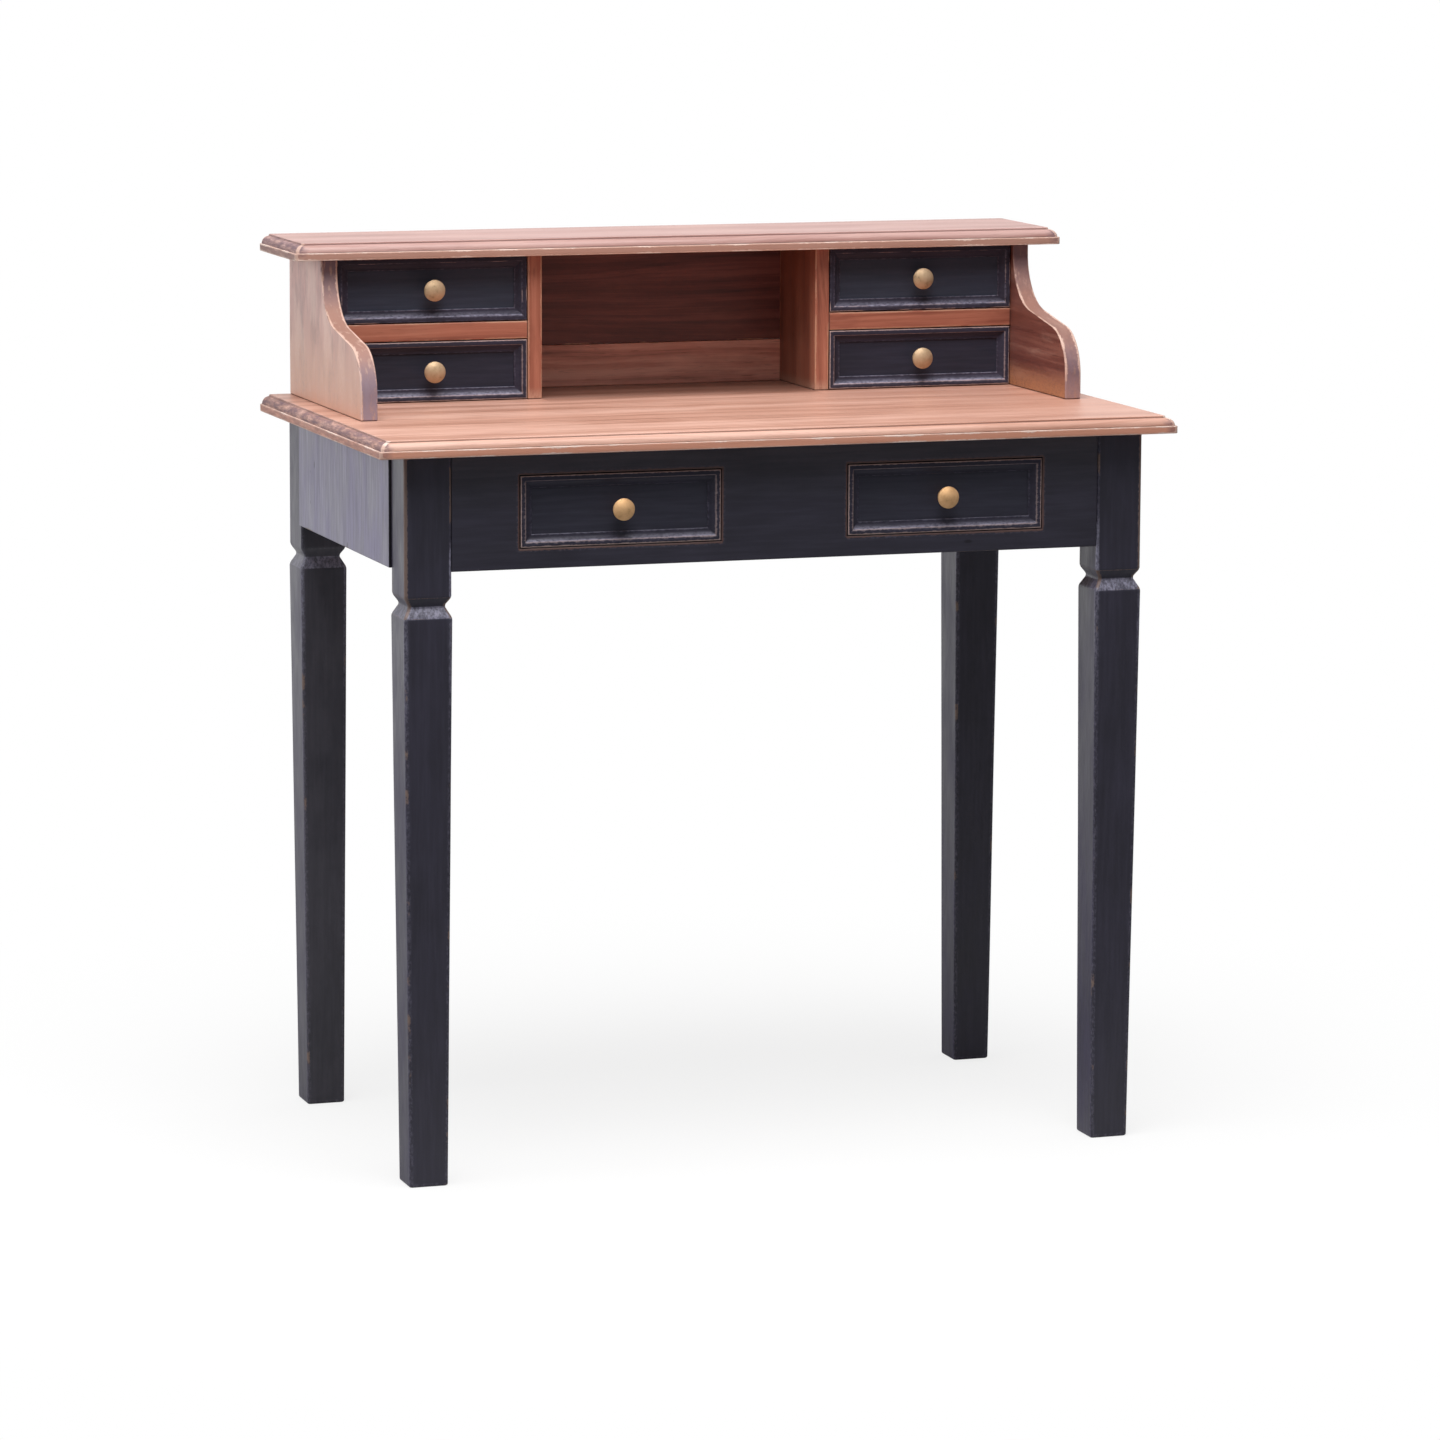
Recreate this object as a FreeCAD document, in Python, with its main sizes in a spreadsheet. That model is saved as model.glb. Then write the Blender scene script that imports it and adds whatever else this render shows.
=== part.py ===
import FreeCAD, Part
import math
import os
import re
import Sketcher

# Writing desk with a small hutch: painted base on four tapered legs, wooden tops with a moulded
# edge, two drawers in the front apron and four in the hutch.
# Origin: floor level, centre of the desk top. +X to the right of the person sitting at it,
# +Y to the back, +Z up.

# Driving dimensions in millimetres.
SIZES = {
    # desk top
    "top_width": 872,
    "top_depth": 490,
    "top_thick": 18,
    "desk_height": 780,
    # moulded edge of both tops: a step down, a quarter round and a ledge above the lower band
    "edge_step": 2,
    "edge_round": 8,
    "edge_ledge": 2,
    # base frame
    "side_overhang": 31.5,
    "front_overhang": 23,
    "back_overhang": 4,
    "leg_size": 50,
    "leg_shoulder": 51.5,
    "leg_foot": 41.5,
    "leg_chamfer": 1.5,
    "neck_drop": 26,
    "neck_bevel": 9,
    "neck_slope": 12,
    "neck_depth": 6,
    "apron_height": 120,
    "apron_thick": 20,
    "back_apron_set": 0.7,
    "front_apron_set": 0.3,
    "side_apron_proud": 2.5,
    "tenon_long": 25,
    "tenon_thick": 8,
    "tenon_inset": 14,
    "tenon_gap": 0.1,
    "brace_width": 24,
    "brace_height": 40,
    "brace_drop": 25,
    "brace_clear": 0.5,
    # drawer openings in the front apron: the wood left beside and between them sets their width
    "apron_end": 67.5,
    "apron_middle": 138,
    "desk_drawer_height": 76,
    "desk_drawer_rise": 21,
    "desk_drawer_shift": 5,
    # runners and kickers of the apron drawers
    "runner_ledge": 14,
    "runner_thick": 12,
    "guide_thick": 12,
    "guide_height": 25,
    "kicker_width": 40,
    "screw_spread": 300,
    "screw_radius": 2,
    "screw_head_radius": 4,
    "screw_head_height": 2.5,
    "screw_bite": 12,
    "screw_gap": 0.1,
    # hutch
    "hutch_inset": 33,
    "hutch_back_set": 2,
    "hutch_height": 156,
    "hutch_side_thick": 18,
    "hutch_foot_depth": 295,
    "hutch_head_depth": 136,
    "hutch_face_depth": 130,
    "scroll_foot_rise": 26,
    "scroll_head_drop": 8,
    "scroll_hollow": 62,
    "scroll_round": 50,
    "niche_width": 312,
    "divider_thick": 16,
    "shelf_rise": 66,
    "shelf_thick": 19,
    "housing_deep": 5,
    "housing_set": 12,
    "housing_gap": 0.1,
    "back_thick": 12,
    "back_rabbet": 6,
    "back_seam_rise": 46,
    "back_seam_gap": 0.4,
    "hutch_top_thick": 18,
    "hutch_top_side_overhang": 32,
    "hutch_top_front_overhang": 14,
    "dowel_radius": 4,
    "dowel_in_top": 10,
    "dowel_in_upright": 20,
    "dowel_gap": 0.1,
    "dowel_back_set": 36,
    "dowel_pitch": 66,
    # drawers
    "drawer_reveal": 1.2,
    "drawer_side_gap": 1.4,
    "drawer_slide_gap": 0.25,
    "drawer_head_gap": 4,
    "drawer_stop_gap": 0.4,
    "panel_thick": 12,
    "panel_rabbet": 7,
    "moulding_width": 13,
    "moulding_thick": 6,
    "moulding_flat": 5,
    "moulding_bevel": 1,
    "moulding_lip": 1.6,
    "box_thick": 10,
    "bottom_thick": 5,
    "bottom_rise": 6,
    "bottom_groove": 4,
    "bottom_gap": 0.1,
    # knobs
    "knob_radius": 11.5,
    "knob_reach": 20,
    "knob_dome": 4.5,
    "knob_rim": 2.5,
    "knob_flare": 5,
    "knob_neck_radius": 4.5,
    "knob_foot_radius": 6.5,
    "knob_foot_thick": 1.6,
    "stud_radius": 2,
    "stud_gap": 0.1,
    "stud_short": 1,
}

# How far a cutting shape runs past the face that it opens.
PAST = 1

# Places and sizes that follow from the driving dimensions, as formulas.
PLACES = {
    "leg_outer_x": "top_width / 2 - side_overhang",
    "leg_inner_x": "leg_outer_x - leg_size",
    "leg_front_y": "front_overhang - top_depth / 2",
    "leg_back_y": "top_depth / 2 - back_overhang",
    "leg_top_z": "desk_height - top_thick",
    "apron_low_z": "leg_top_z - apron_height",
    "neck_top_z": "apron_low_z - neck_drop",
    "front_apron_y": "leg_front_y + front_apron_set",
    "front_apron_back_y": "front_apron_y + apron_thick",
    "back_apron_y": "leg_back_y - back_apron_set - apron_thick",
    "side_apron_inner_x": "leg_outer_x + side_apron_proud - apron_thick",
    "side_apron_front_y": "leg_front_y + leg_size",
    "side_apron_back_y": "leg_back_y - leg_size",
    "tenon_low_z": "apron_low_z + tenon_inset",
    "tenon_height": "apron_height - 2 * tenon_inset",
    "tenon_side": "(apron_thick - tenon_thick) / 2",
    "desk_drawer_width": "leg_inner_x - apron_end - apron_middle / 2",
    "desk_drawer_centre": "(leg_inner_x - apron_end + apron_middle / 2) / 2",
    "desk_drawer_low_z": "apron_low_z + desk_drawer_rise",
    "desk_drawer_high_z": "desk_drawer_low_z + desk_drawer_height",
    "hutch_outer_x": "top_width / 2 - hutch_inset",
    "hutch_inner_x": "hutch_outer_x - hutch_side_thick",
    "divider_inner_x": "niche_width / 2",
    "divider_outer_x": "divider_inner_x + divider_thick",
    "hutch_back_y": "top_depth / 2 - hutch_back_set",
    "hutch_board_y": "hutch_back_y - back_thick",
    "hutch_face_y": "hutch_back_y - hutch_face_depth",
    "hutch_foot_y": "hutch_back_y - hutch_foot_depth",
    "hutch_head_y": "hutch_back_y - hutch_head_depth",
    "hutch_high_z": "desk_height + hutch_height",
    "shelf_low_z": "desk_height + shelf_rise",
    "shelf_high_z": "shelf_low_z + shelf_thick",
    "hutch_top_half": "hutch_outer_x + hutch_top_side_overhang",
    "hutch_top_front_y": "hutch_head_y - hutch_top_front_overhang",
    "scroll_low_z": "desk_height + scroll_foot_rise",
    "scroll_high_z": "hutch_high_z - scroll_head_drop",
    "scroll_run": "hutch_foot_depth - hutch_head_depth",
    "scroll_climb": "scroll_high_z - scroll_low_z",
    "scroll_gap": "scroll_run - scroll_hollow - scroll_round",
    "scroll_sum": "scroll_hollow + scroll_round",
    "scroll_centres": "scroll_gap ^ 2 + scroll_climb ^ 2",
    "scroll_tangent": "sqrt(scroll_centres - scroll_sum ^ 2)",
    "scroll_normal_y": "(scroll_gap * scroll_sum - scroll_climb * scroll_tangent) / scroll_centres",
    "scroll_normal_z": "(scroll_climb * scroll_sum + scroll_gap * scroll_tangent) / scroll_centres",
}

doc = FreeCAD.newDocument("writing_desk")
sheet = doc.addObject("Spreadsheet::Sheet", "sizes")
for row, (name, size) in enumerate(SIZES.items(), start=1):
    sheet.set(f"A{row}", name)
    sheet.set(f"B{row}", str(size))
    sheet.setAlias(f"B{row}", name)
doc.recompute()

# The finished sub-parts, each written to a file named by its Label.
pieces = []


def formula(text):
    """The expression with each place spelled out and each size turned into its cell."""
    def spell_out(match):
        word = match[0]
        if word in SIZES:
            return "sizes." + word
        if word in PLACES:
            return "(" + formula(PLACES[word]) + ")"
        return word
    return re.sub(r"[a-z_]+", spell_out, str(text))


def value(text):
    """The number that an expression gives now."""
    return float(sheet.evalExpression(formula(text)))


def bind(item, **expressions):
    """Tie properties of an object to expressions."""
    for property_name, text in expressions.items():
        item.setExpression(property_name, formula(text))


def place(item, corner):
    """Tie the position of an object to three expressions."""
    for axis, text in zip("xyz", corner):
        item.setExpression("Placement.Base." + axis, formula(text))


def new_body(label):
    """An empty body with this Label."""
    body = doc.addObject("PartDesign::Body", label)
    body.Label = label
    return body


def box(body, kind, low, high):
    """Add or cut a block between two corners, each given as three expressions."""
    block = body.newObject(f"PartDesign::{kind}Box", kind.lower() + "_block")
    spans = [f"({end}) - ({start})" for start, end in zip(low, high)]
    bind(block, Length=spans[0], Width=spans[1], Height=spans[2])
    place(block, low)
    return block


def cut_round(body, radius, foot, height):
    """Cut an upright round hole that starts at foot and goes up."""
    hole = body.newObject("PartDesign::SubtractiveCylinder", "round_hole")
    bind(hole, Radius=radius, Height=height)
    place(hole, foot)
    return hole


def attach(sketch, body, role):
    """Lay a sketch on one of its own body's origin planes."""
    for plane in body.Origin.OriginFeatures:
        if plane.Role == role:
            sketch.AttachmentSupport = [(plane, "")]
    sketch.MapMode = "FlatFace"


def arc_about(start, end, radius, turn):
    """The arc of under a half circle between two points, centred left or right of the way."""
    chord = end - start
    middle = start + chord * 0.5
    left = FreeCAD.Vector(-chord.y, chord.x, 0).normalize()
    offset = math.sqrt(max(radius ** 2 - (chord.Length / 2) ** 2, 0))
    side = 1 if turn == "left" else -1
    centre = middle + left * (side * offset)
    first, last = (start, end) if turn == "left" else (end, start)
    angles = [math.atan2(point.y - centre.y, point.x - centre.x) for point in (first, last)]
    if angles[1] < angles[0]:
        angles[1] += 2 * math.pi
    circle = Part.Circle(centre, FreeCAD.Vector(0, 0, 1), radius)
    return Part.ArcOfCircle(circle, angles[0], angles[1])


def outline(body, role, name, corners):
    """A closed sketch through corners (x, y). A corner with a radius and a turn starts an arc."""
    sketch = body.newObject("Sketcher::SketchObject", name)
    attach(sketch, body, role)
    points = [FreeCAD.Vector(value(corner[0]), value(corner[1]), 0) for corner in corners]
    ends = []
    for index, corner in enumerate(corners):
        start = points[index]
        end = points[(index + 1) % len(points)]
        if len(corner) == 2:
            sketch.addGeometry(Part.LineSegment(start, end), False)
            ends.append((1, 2))
        else:
            sketch.addGeometry(arc_about(start, end, value(corner[2]), corner[3]), False)
            ends.append((1, 2) if corner[3] == "left" else (2, 1))
    for index, corner in enumerate(corners):
        following = (index + 1) % len(corners)
        joint = Sketcher.Constraint("Coincident", index, ends[index][1], following, ends[following][0])
        sketch.addConstraint(joint)
        for kind, text in (("DistanceX", corner[0]), ("DistanceY", corner[1])):
            size = Sketcher.Constraint(kind, -1, 1, index, ends[index][0], value(text))
            sketch.setExpression(f"Constraints[{sketch.addConstraint(size)}]", formula(text))
        if len(corner) > 2:
            size = Sketcher.Constraint("Radius", index, value(corner[2]))
            sketch.setExpression(f"Constraints[{sketch.addConstraint(size)}]", formula(corner[2]))
    return sketch


def pad(body, sketch, length, start=0):
    """Raise a sketch by a length along its plane's normal, from a start distance."""
    sketch.setExpression("AttachmentOffset.Base.z", formula(start))
    feature = body.newObject("PartDesign::Pad", "pad")
    feature.Profile = sketch
    bind(feature, Length=length)
    return feature


def cut_through(body, sketch):
    """Cut a sketch through the whole body, both ways from its plane."""
    feature = body.newObject("PartDesign::Pocket", "cut_through")
    feature.Profile = sketch
    feature.Type = "ThroughAll"
    feature.Midplane = True
    return feature


def group(label, members):
    """Several separate solids that make one sub-part."""
    compound = doc.addObject("Part::Compound", label)
    compound.Label = label
    compound.Links = members
    pieces.append(compound)
    return compound


# Legs: square blocks with a neck cut round them below the apron, then a taper to the foot.

def square_section(body, name, centre, size, height):
    """Horizontal square with cut corners, centred on a leg's axis, at a height."""
    half = f"({size}) / 2"
    cut = f"({size}) / 2 - leg_chamfer"
    ring = [(cut, half, 1, -1), (half, cut, 1, -1), (half, cut, 1, 1), (cut, half, 1, 1),
            (cut, half, -1, 1), (half, cut, -1, 1), (half, cut, -1, -1), (cut, half, -1, -1)]
    corners = [(f"{centre[0]} + ({x}) * ({sign_x})", f"{centre[1]} + ({y}) * ({sign_y})")
               for x, y, sign_x, sign_y in ring]
    sketch = outline(body, "XY_Plane", name, corners)
    sketch.setExpression("AttachmentOffset.Base.z", formula(height))
    return sketch


def leg(label, side, end):
    """One leg. side is -1 left or 1 right, end is -1 front or 1 back."""
    body = new_body(label)
    centre_x = f"({side}) * (leg_outer_x - leg_size / 2)"
    centre_y = "leg_front_y + leg_size / 2" if end < 0 else "leg_back_y - leg_size / 2"
    centre = (centre_x, centre_y)
    neck_z = "neck_top_z - neck_bevel"
    sections = [
        square_section(body, "foot", centre, "leg_foot", "0"),
        square_section(body, "shoulder", centre, "leg_shoulder", f"{neck_z} - neck_slope"),
        square_section(body, "neck", centre, "leg_size - 2 * neck_depth", neck_z),
        square_section(body, "block", centre, "leg_size", "neck_top_z"),
        square_section(body, "head", centre, "leg_size", "leg_top_z"),
    ]
    loft = body.newObject("PartDesign::AdditiveLoft", "shaft")
    loft.Profile = sections[0]
    loft.Sections = sections[1:]
    loft.Ruled = True
    cut_long_mortise(body, side, end)
    cut_side_mortise(body, side, end)
    pieces.append(body)


def long_tenon_y(end):
    """The low and high y of the front (-1) or back (1) apron's tenons."""
    low = "front_apron_y + tenon_side" if end < 0 else "back_apron_y + tenon_side"
    return low, f"{low} + tenon_thick"


def cut_long_mortise(body, side, end):
    """Mortise for the front or back apron's tenon."""
    low_y, high_y = long_tenon_y(end)
    near = f"({side}) * (leg_inner_x - {PAST})"
    far = f"({side}) * (leg_inner_x + tenon_long + tenon_gap)"
    low_x, high_x = (far, near) if side < 0 else (near, far)
    box(body, "Subtractive",
        (low_x, f"{low_y} - tenon_gap", "tenon_low_z - tenon_gap"),
        (high_x, f"{high_y} + tenon_gap", "tenon_low_z + tenon_height + tenon_gap"))


def side_tenon_x(side):
    """The low and high x of the left (-1) or right (1) apron's tenons."""
    near = "leg_outer_x - apron_thick + tenon_side"
    far = f"{near} + tenon_thick"
    return (f"-({far})", f"-({near})") if side < 0 else (near, far)


def cut_side_mortise(body, side, end):
    """Mortise for the left or right apron's tenon."""
    low_x, high_x = side_tenon_x(side)
    if end < 0:
        low_y, high_y = "side_apron_front_y - tenon_long - tenon_gap", f"side_apron_front_y + {PAST}"
    else:
        low_y, high_y = f"side_apron_back_y - {PAST}", "side_apron_back_y + tenon_long + tenon_gap"
    box(body, "Subtractive",
        (f"{low_x} - tenon_gap", low_y, "tenon_low_z - tenon_gap"),
        (f"{high_x} + tenon_gap", high_y, "tenon_low_z + tenon_height + tenon_gap"))


for side, side_name in ((-1, "left"), (1, "right")):
    leg(f"leg_front_{side_name}", side, -1)
    leg(f"leg_back_{side_name}", side, 1)


# Aprons: boards on edge between the legs, with a tenon at each end.

def drawer_centre_x(side):
    """Centre of the left (-1) or right (1) apron drawer."""
    return f"({side}) * desk_drawer_centre + desk_drawer_shift"


def long_apron(label, end):
    """Front (-1) or back (1) apron. The front one has the two drawer openings."""
    body = new_body(label)
    face_y = "front_apron_y" if end < 0 else "back_apron_y"
    box(body, "Additive", ("-(leg_inner_x)", face_y, "apron_low_z"),
        ("leg_inner_x", f"{face_y} + apron_thick", "leg_top_z"))
    low_y, high_y = long_tenon_y(end)
    tenon_x = "leg_inner_x + tenon_long"
    box(body, "Additive", (f"-({tenon_x})", low_y, "tenon_low_z"),
        (tenon_x, high_y, "tenon_low_z + tenon_height"))
    if end < 0:
        for side in (-1, 1):
            centre = drawer_centre_x(side)
            box(body, "Subtractive",
                (f"{centre} - desk_drawer_width / 2", f"{face_y} - {PAST}", "desk_drawer_low_z"),
                (f"{centre} + desk_drawer_width / 2", f"front_apron_back_y + {PAST}",
                 "desk_drawer_high_z"))
    pieces.append(body)


def side_apron(label, side):
    """Left (-1) or right (1) apron."""
    body = new_body(label)
    inner, outer = "side_apron_inner_x", "side_apron_inner_x + apron_thick"
    low_x, high_x = (f"-({outer})", f"-({inner})") if side < 0 else (inner, outer)
    box(body, "Additive", (low_x, "side_apron_front_y", "apron_low_z"),
        (high_x, "side_apron_back_y", "leg_top_z"))
    low_x, high_x = side_tenon_x(side)
    box(body, "Additive", (low_x, "side_apron_front_y - tenon_long", "tenon_low_z"),
        (high_x, "side_apron_back_y + tenon_long", "tenon_low_z + tenon_height"))
    pieces.append(body)


long_apron("front_apron", -1)
long_apron("back_apron", 1)
side_apron("left_apron", -1)
side_apron("right_apron", 1)


# Corner blocks: diagonal braces glued across each corner, clear of the leg's inner edge.

def corner_block(side, end):
    """One brace, flat against a long apron and a side apron."""
    body = new_body("corner_block")
    front_in = "front_apron_set + apron_thick" if end < 0 else "back_apron_set + apron_thick"
    side_in = "apron_thick - side_apron_proud"
    diagonal = "2 * leg_size + 2 * brace_clear"
    offsets = [(f"{diagonal} - ({front_in})", front_in),
               (f"{diagonal} - ({front_in}) + brace_width", front_in),
               (side_in, f"{diagonal} - ({side_in}) + brace_width"),
               (side_in, f"{diagonal} - ({side_in})")]
    origin_y = "leg_front_y" if end < 0 else "leg_back_y"
    corners = [(f"({side}) * (leg_outer_x - ({across}))", f"{origin_y} - ({end}) * ({along})")
               for across, along in offsets]
    sketch = outline(body, "XY_Plane", "brace_outline", corners)
    pad(body, sketch, "brace_height", "leg_top_z - brace_drop - brace_height")
    return body


group("corner_blocks", [corner_block(side, end) for side in (-1, 1) for end in (-1, 1)])


# Runners and kickers: strips between the front and back aprons that carry the apron drawers from
# below and keep them from tipping above.

def runner(side, hand):
    """L-shaped runner on the left (-1) or right (1) hand of one apron drawer."""
    body = new_body("drawer_runner")
    edge = f"{drawer_centre_x(side)} + ({hand}) * desk_drawer_width / 2"
    outer = f"{edge} + ({hand}) * guide_thick"
    ledge = f"{edge} - ({hand}) * runner_ledge"
    low_x, high_x = (outer, ledge) if hand < 0 else (ledge, outer)
    box(body, "Additive", (low_x, "front_apron_back_y", "desk_drawer_low_z - runner_thick"),
        (high_x, "back_apron_y", "desk_drawer_low_z"))
    low_x, high_x = (outer, edge) if hand < 0 else (edge, outer)
    box(body, "Additive", (low_x, "front_apron_back_y", "desk_drawer_low_z - runner_thick"),
        (high_x, "back_apron_y", "desk_drawer_low_z + guide_height"))
    return body


def screw_places(side):
    """The two screws through one kicker."""
    middle = "(front_apron_back_y + back_apron_y) / 2"
    return [(drawer_centre_x(side), f"{middle} + ({step}) * screw_spread / 2") for step in (-1, 1)]


def kicker(side):
    """Strip over one apron drawer, with countersunk holes for the desk top's screws."""
    body = new_body("drawer_kicker")
    centre = drawer_centre_x(side)
    box(body, "Additive",
        (f"{centre} - kicker_width / 2", "front_apron_back_y", "desk_drawer_high_z"),
        (f"{centre} + kicker_width / 2", "back_apron_y", "leg_top_z"))
    for x, y in screw_places(side):
        cut_round(body, "screw_radius + screw_gap", (x, y, "desk_drawer_high_z"),
                  "leg_top_z - desk_drawer_high_z")
        sink = body.newObject("PartDesign::SubtractiveCone", "countersink")
        bind(sink, Radius1="screw_head_radius + screw_gap", Radius2="screw_radius + screw_gap",
             Height="screw_head_height")
        place(sink, (x, y, "desk_drawer_high_z"))
    return body


def screw(x, y):
    """Countersunk wood screw, head down in the kicker and point up in the desk top."""
    body = new_body("top_screw")
    shank = body.newObject("PartDesign::AdditiveCylinder", "shank")
    bind(shank, Radius="screw_radius", Height="leg_top_z - desk_drawer_high_z + screw_bite")
    place(shank, (x, y, "desk_drawer_high_z"))
    head = body.newObject("PartDesign::AdditiveCone", "head")
    bind(head, Radius1="screw_head_radius", Radius2="screw_radius", Height="screw_head_height")
    place(head, (x, y, "desk_drawer_high_z"))
    return body


for side, side_name in ((-1, "left"), (1, "right")):
    group(f"{side_name}_drawer_runners", [runner(side, hand) for hand in (-1, 1)])
group("drawer_kickers", [kicker(side) for side in (-1, 1)])
group("top_screws", [screw(x, y) for side in (-1, 1) for x, y in screw_places(side)])


# Desk top and hutch top: boards with a moulded edge at the front and both ends.

def moulding_cut(edge, way, low_z, thick):
    """What the cutter takes off an edge. way is 1 where the board lies below edge, else -1."""
    step_in = f"{edge} - ({way}) * (edge_ledge + edge_round)"
    ledge_in = f"{edge} - ({way}) * edge_ledge"
    beyond = f"{edge} + ({way}) * {PAST}"
    band_z = f"{low_z} + {thick} - edge_step - edge_round"
    step_z = f"{low_z} + {thick} - edge_step"
    over_z = f"{low_z} + {thick} + {PAST}"
    turn = "right" if way > 0 else "left"
    return [(beyond, band_z), (beyond, over_z), (step_in, over_z),
            (step_in, step_z, "edge_round", turn), (ledge_in, band_z)]


def moulded_top(label, half_width, front_y, back_y, low_z, thick):
    """Board with its profile cut along both ends and the front, meeting in mitres."""
    body = new_body(label)
    box(body, "Additive", (f"-({half_width})", front_y, low_z),
        (half_width, back_y, f"{low_z} + {thick}"))
    for edge, way in ((f"-({half_width})", -1), (half_width, 1)):
        sketch = outline(body, "XZ_Plane", "end_profile", moulding_cut(edge, way, low_z, thick))
        cut_through(body, sketch)
    sketch = outline(body, "YZ_Plane", "front_profile", moulding_cut(front_y, -1, low_z, thick))
    cut_through(body, sketch)
    pieces.append(body)
    return body


def dowel_places():
    """The x and y of the two dowels in each of the four hutch uprights."""
    side_x = "hutch_outer_x - hutch_side_thick / 2"
    divider_x = "divider_inner_x + divider_thick / 2"
    back = "hutch_back_y - dowel_back_set"
    return [(f"({sign}) * ({x})", f"{back} - ({step}) * dowel_pitch")
            for x in (side_x, divider_x) for sign in (-1, 1) for step in (0, 1)]


desk_top = moulded_top("desk_top", "top_width / 2", "-top_depth / 2", "top_depth / 2",
                       "leg_top_z", "top_thick")
for x, y in dowel_places():
    cut_round(desk_top, "dowel_radius + dowel_gap", (x, y, "desk_height - dowel_in_top - dowel_gap"),
              "dowel_in_top + dowel_gap")
for side in (-1, 1):
    for x, y in screw_places(side):
        cut_round(desk_top, "screw_radius + screw_gap", (x, y, "leg_top_z"), "screw_bite + screw_gap")

hutch_top = moulded_top("hutch_top", "hutch_top_half", "hutch_top_front_y", "top_depth / 2",
                        "hutch_high_z", "hutch_top_thick")
for x, y in dowel_places():
    cut_round(hutch_top, "dowel_radius + dowel_gap", (x, y, "hutch_high_z"), "dowel_in_top + dowel_gap")


# Hutch: two scrolled sides, two dividers beside the niche, a shelf between the drawers on each
# side and two back boards let into the sides.

def cut_dowel_holes(body, own_x):
    """Holes for the dowels at the foot and head of the upright that is centred on own_x."""
    for x, y in dowel_places():
        if abs(value(x) - value(own_x)) < value("dowel_radius"):
            cut_round(body, "dowel_radius + dowel_gap", (x, y, "desk_height"),
                      "dowel_in_upright + dowel_gap")
            cut_round(body, "dowel_radius + dowel_gap",
                      (x, y, "hutch_high_z - dowel_in_upright - dowel_gap"),
                      "dowel_in_upright + dowel_gap")


def cut_housing(body, face_x, depth_way):
    """Stopped groove for a shelf's end in the face at face_x, cut along depth_way."""
    near = f"{face_x} - ({depth_way}) * {PAST}"
    far = f"{face_x} + ({depth_way}) * (housing_deep + housing_gap)"
    low_x, high_x = (near, far) if depth_way > 0 else (far, near)
    box(body, "Subtractive",
        (low_x, "hutch_face_y + housing_set - housing_gap", "shelf_low_z - housing_gap"),
        (high_x, f"hutch_board_y + {PAST}", "shelf_high_z + housing_gap"))


def hutch_side(label, side):
    """Scrolled side: a hollow under the head, a straight run, and a round above the foot."""
    body = new_body(label)
    corners = [
        ("hutch_foot_y", "desk_height"),
        ("hutch_back_y", "desk_height"),
        ("hutch_back_y", "hutch_high_z"),
        ("hutch_head_y", "hutch_high_z"),
        ("hutch_head_y", "scroll_high_z", "scroll_hollow", "right"),
        ("hutch_head_y - scroll_hollow * (1 + scroll_normal_y)",
         "scroll_high_z - scroll_hollow * scroll_normal_z"),
        ("hutch_foot_y + scroll_round * (1 + scroll_normal_y)",
         "scroll_low_z + scroll_round * scroll_normal_z", "scroll_round", "left"),
        ("hutch_foot_y", "scroll_low_z"),
    ]
    sketch = outline(body, "YZ_Plane", "scroll", corners)
    start = "-(hutch_outer_x)" if side < 0 else "hutch_inner_x"
    pad(body, sketch, "hutch_side_thick", start)
    near = f"({side}) * (hutch_inner_x - {PAST})"
    far = f"({side}) * (hutch_inner_x + back_rabbet)"
    low_x, high_x = (far, near) if side < 0 else (near, far)
    box(body, "Subtractive", (low_x, "hutch_board_y", f"desk_height - {PAST}"),
        (high_x, f"hutch_back_y + {PAST}", f"hutch_high_z + {PAST}"))
    cut_housing(body, f"({side}) * hutch_inner_x", side)
    cut_dowel_holes(body, f"({side}) * (hutch_outer_x - hutch_side_thick / 2)")
    pieces.append(body)


def divider(label, side):
    """Upright between the niche and the drawers."""
    body = new_body(label)
    inner, outer = "divider_inner_x", "divider_outer_x"
    low_x, high_x = (f"-({outer})", f"-({inner})") if side < 0 else (inner, outer)
    box(body, "Additive", (low_x, "hutch_face_y", "desk_height"),
        (high_x, "hutch_board_y", "hutch_high_z"))
    cut_housing(body, f"({side}) * divider_outer_x", -side)
    cut_dowel_holes(body, f"({side}) * (divider_inner_x + divider_thick / 2)")
    pieces.append(body)


def shelf(label, side):
    """Board between the upper and lower drawer, with a tongue in each upright."""
    body = new_body(label)
    inner, outer = "divider_outer_x", "hutch_inner_x"
    low_x, high_x = (f"-({outer})", f"-({inner})") if side < 0 else (inner, outer)
    box(body, "Additive", (low_x, "hutch_face_y", "shelf_low_z"),
        (high_x, "hutch_board_y", "shelf_high_z"))
    box(body, "Additive", (f"{low_x} - housing_deep", "hutch_face_y + housing_set", "shelf_low_z"),
        (f"{high_x} + housing_deep", "hutch_board_y", "shelf_high_z"))
    pieces.append(body)


def back_board(label, low_z, high_z):
    """Board across the back of the hutch, let into both sides."""
    body = new_body(label)
    half = "hutch_inner_x + back_rabbet"
    box(body, "Additive", (f"-({half})", "hutch_board_y", low_z), (half, "hutch_back_y", high_z))
    pieces.append(body)


def dowel(x, y, low_z, high_z):
    """Round peg between two heights."""
    peg = doc.addObject("Part::Cylinder", "dowel")
    bind(peg, Radius="dowel_radius", Height=f"({high_z}) - ({low_z})")
    place(peg, (x, y, low_z))
    return peg


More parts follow.
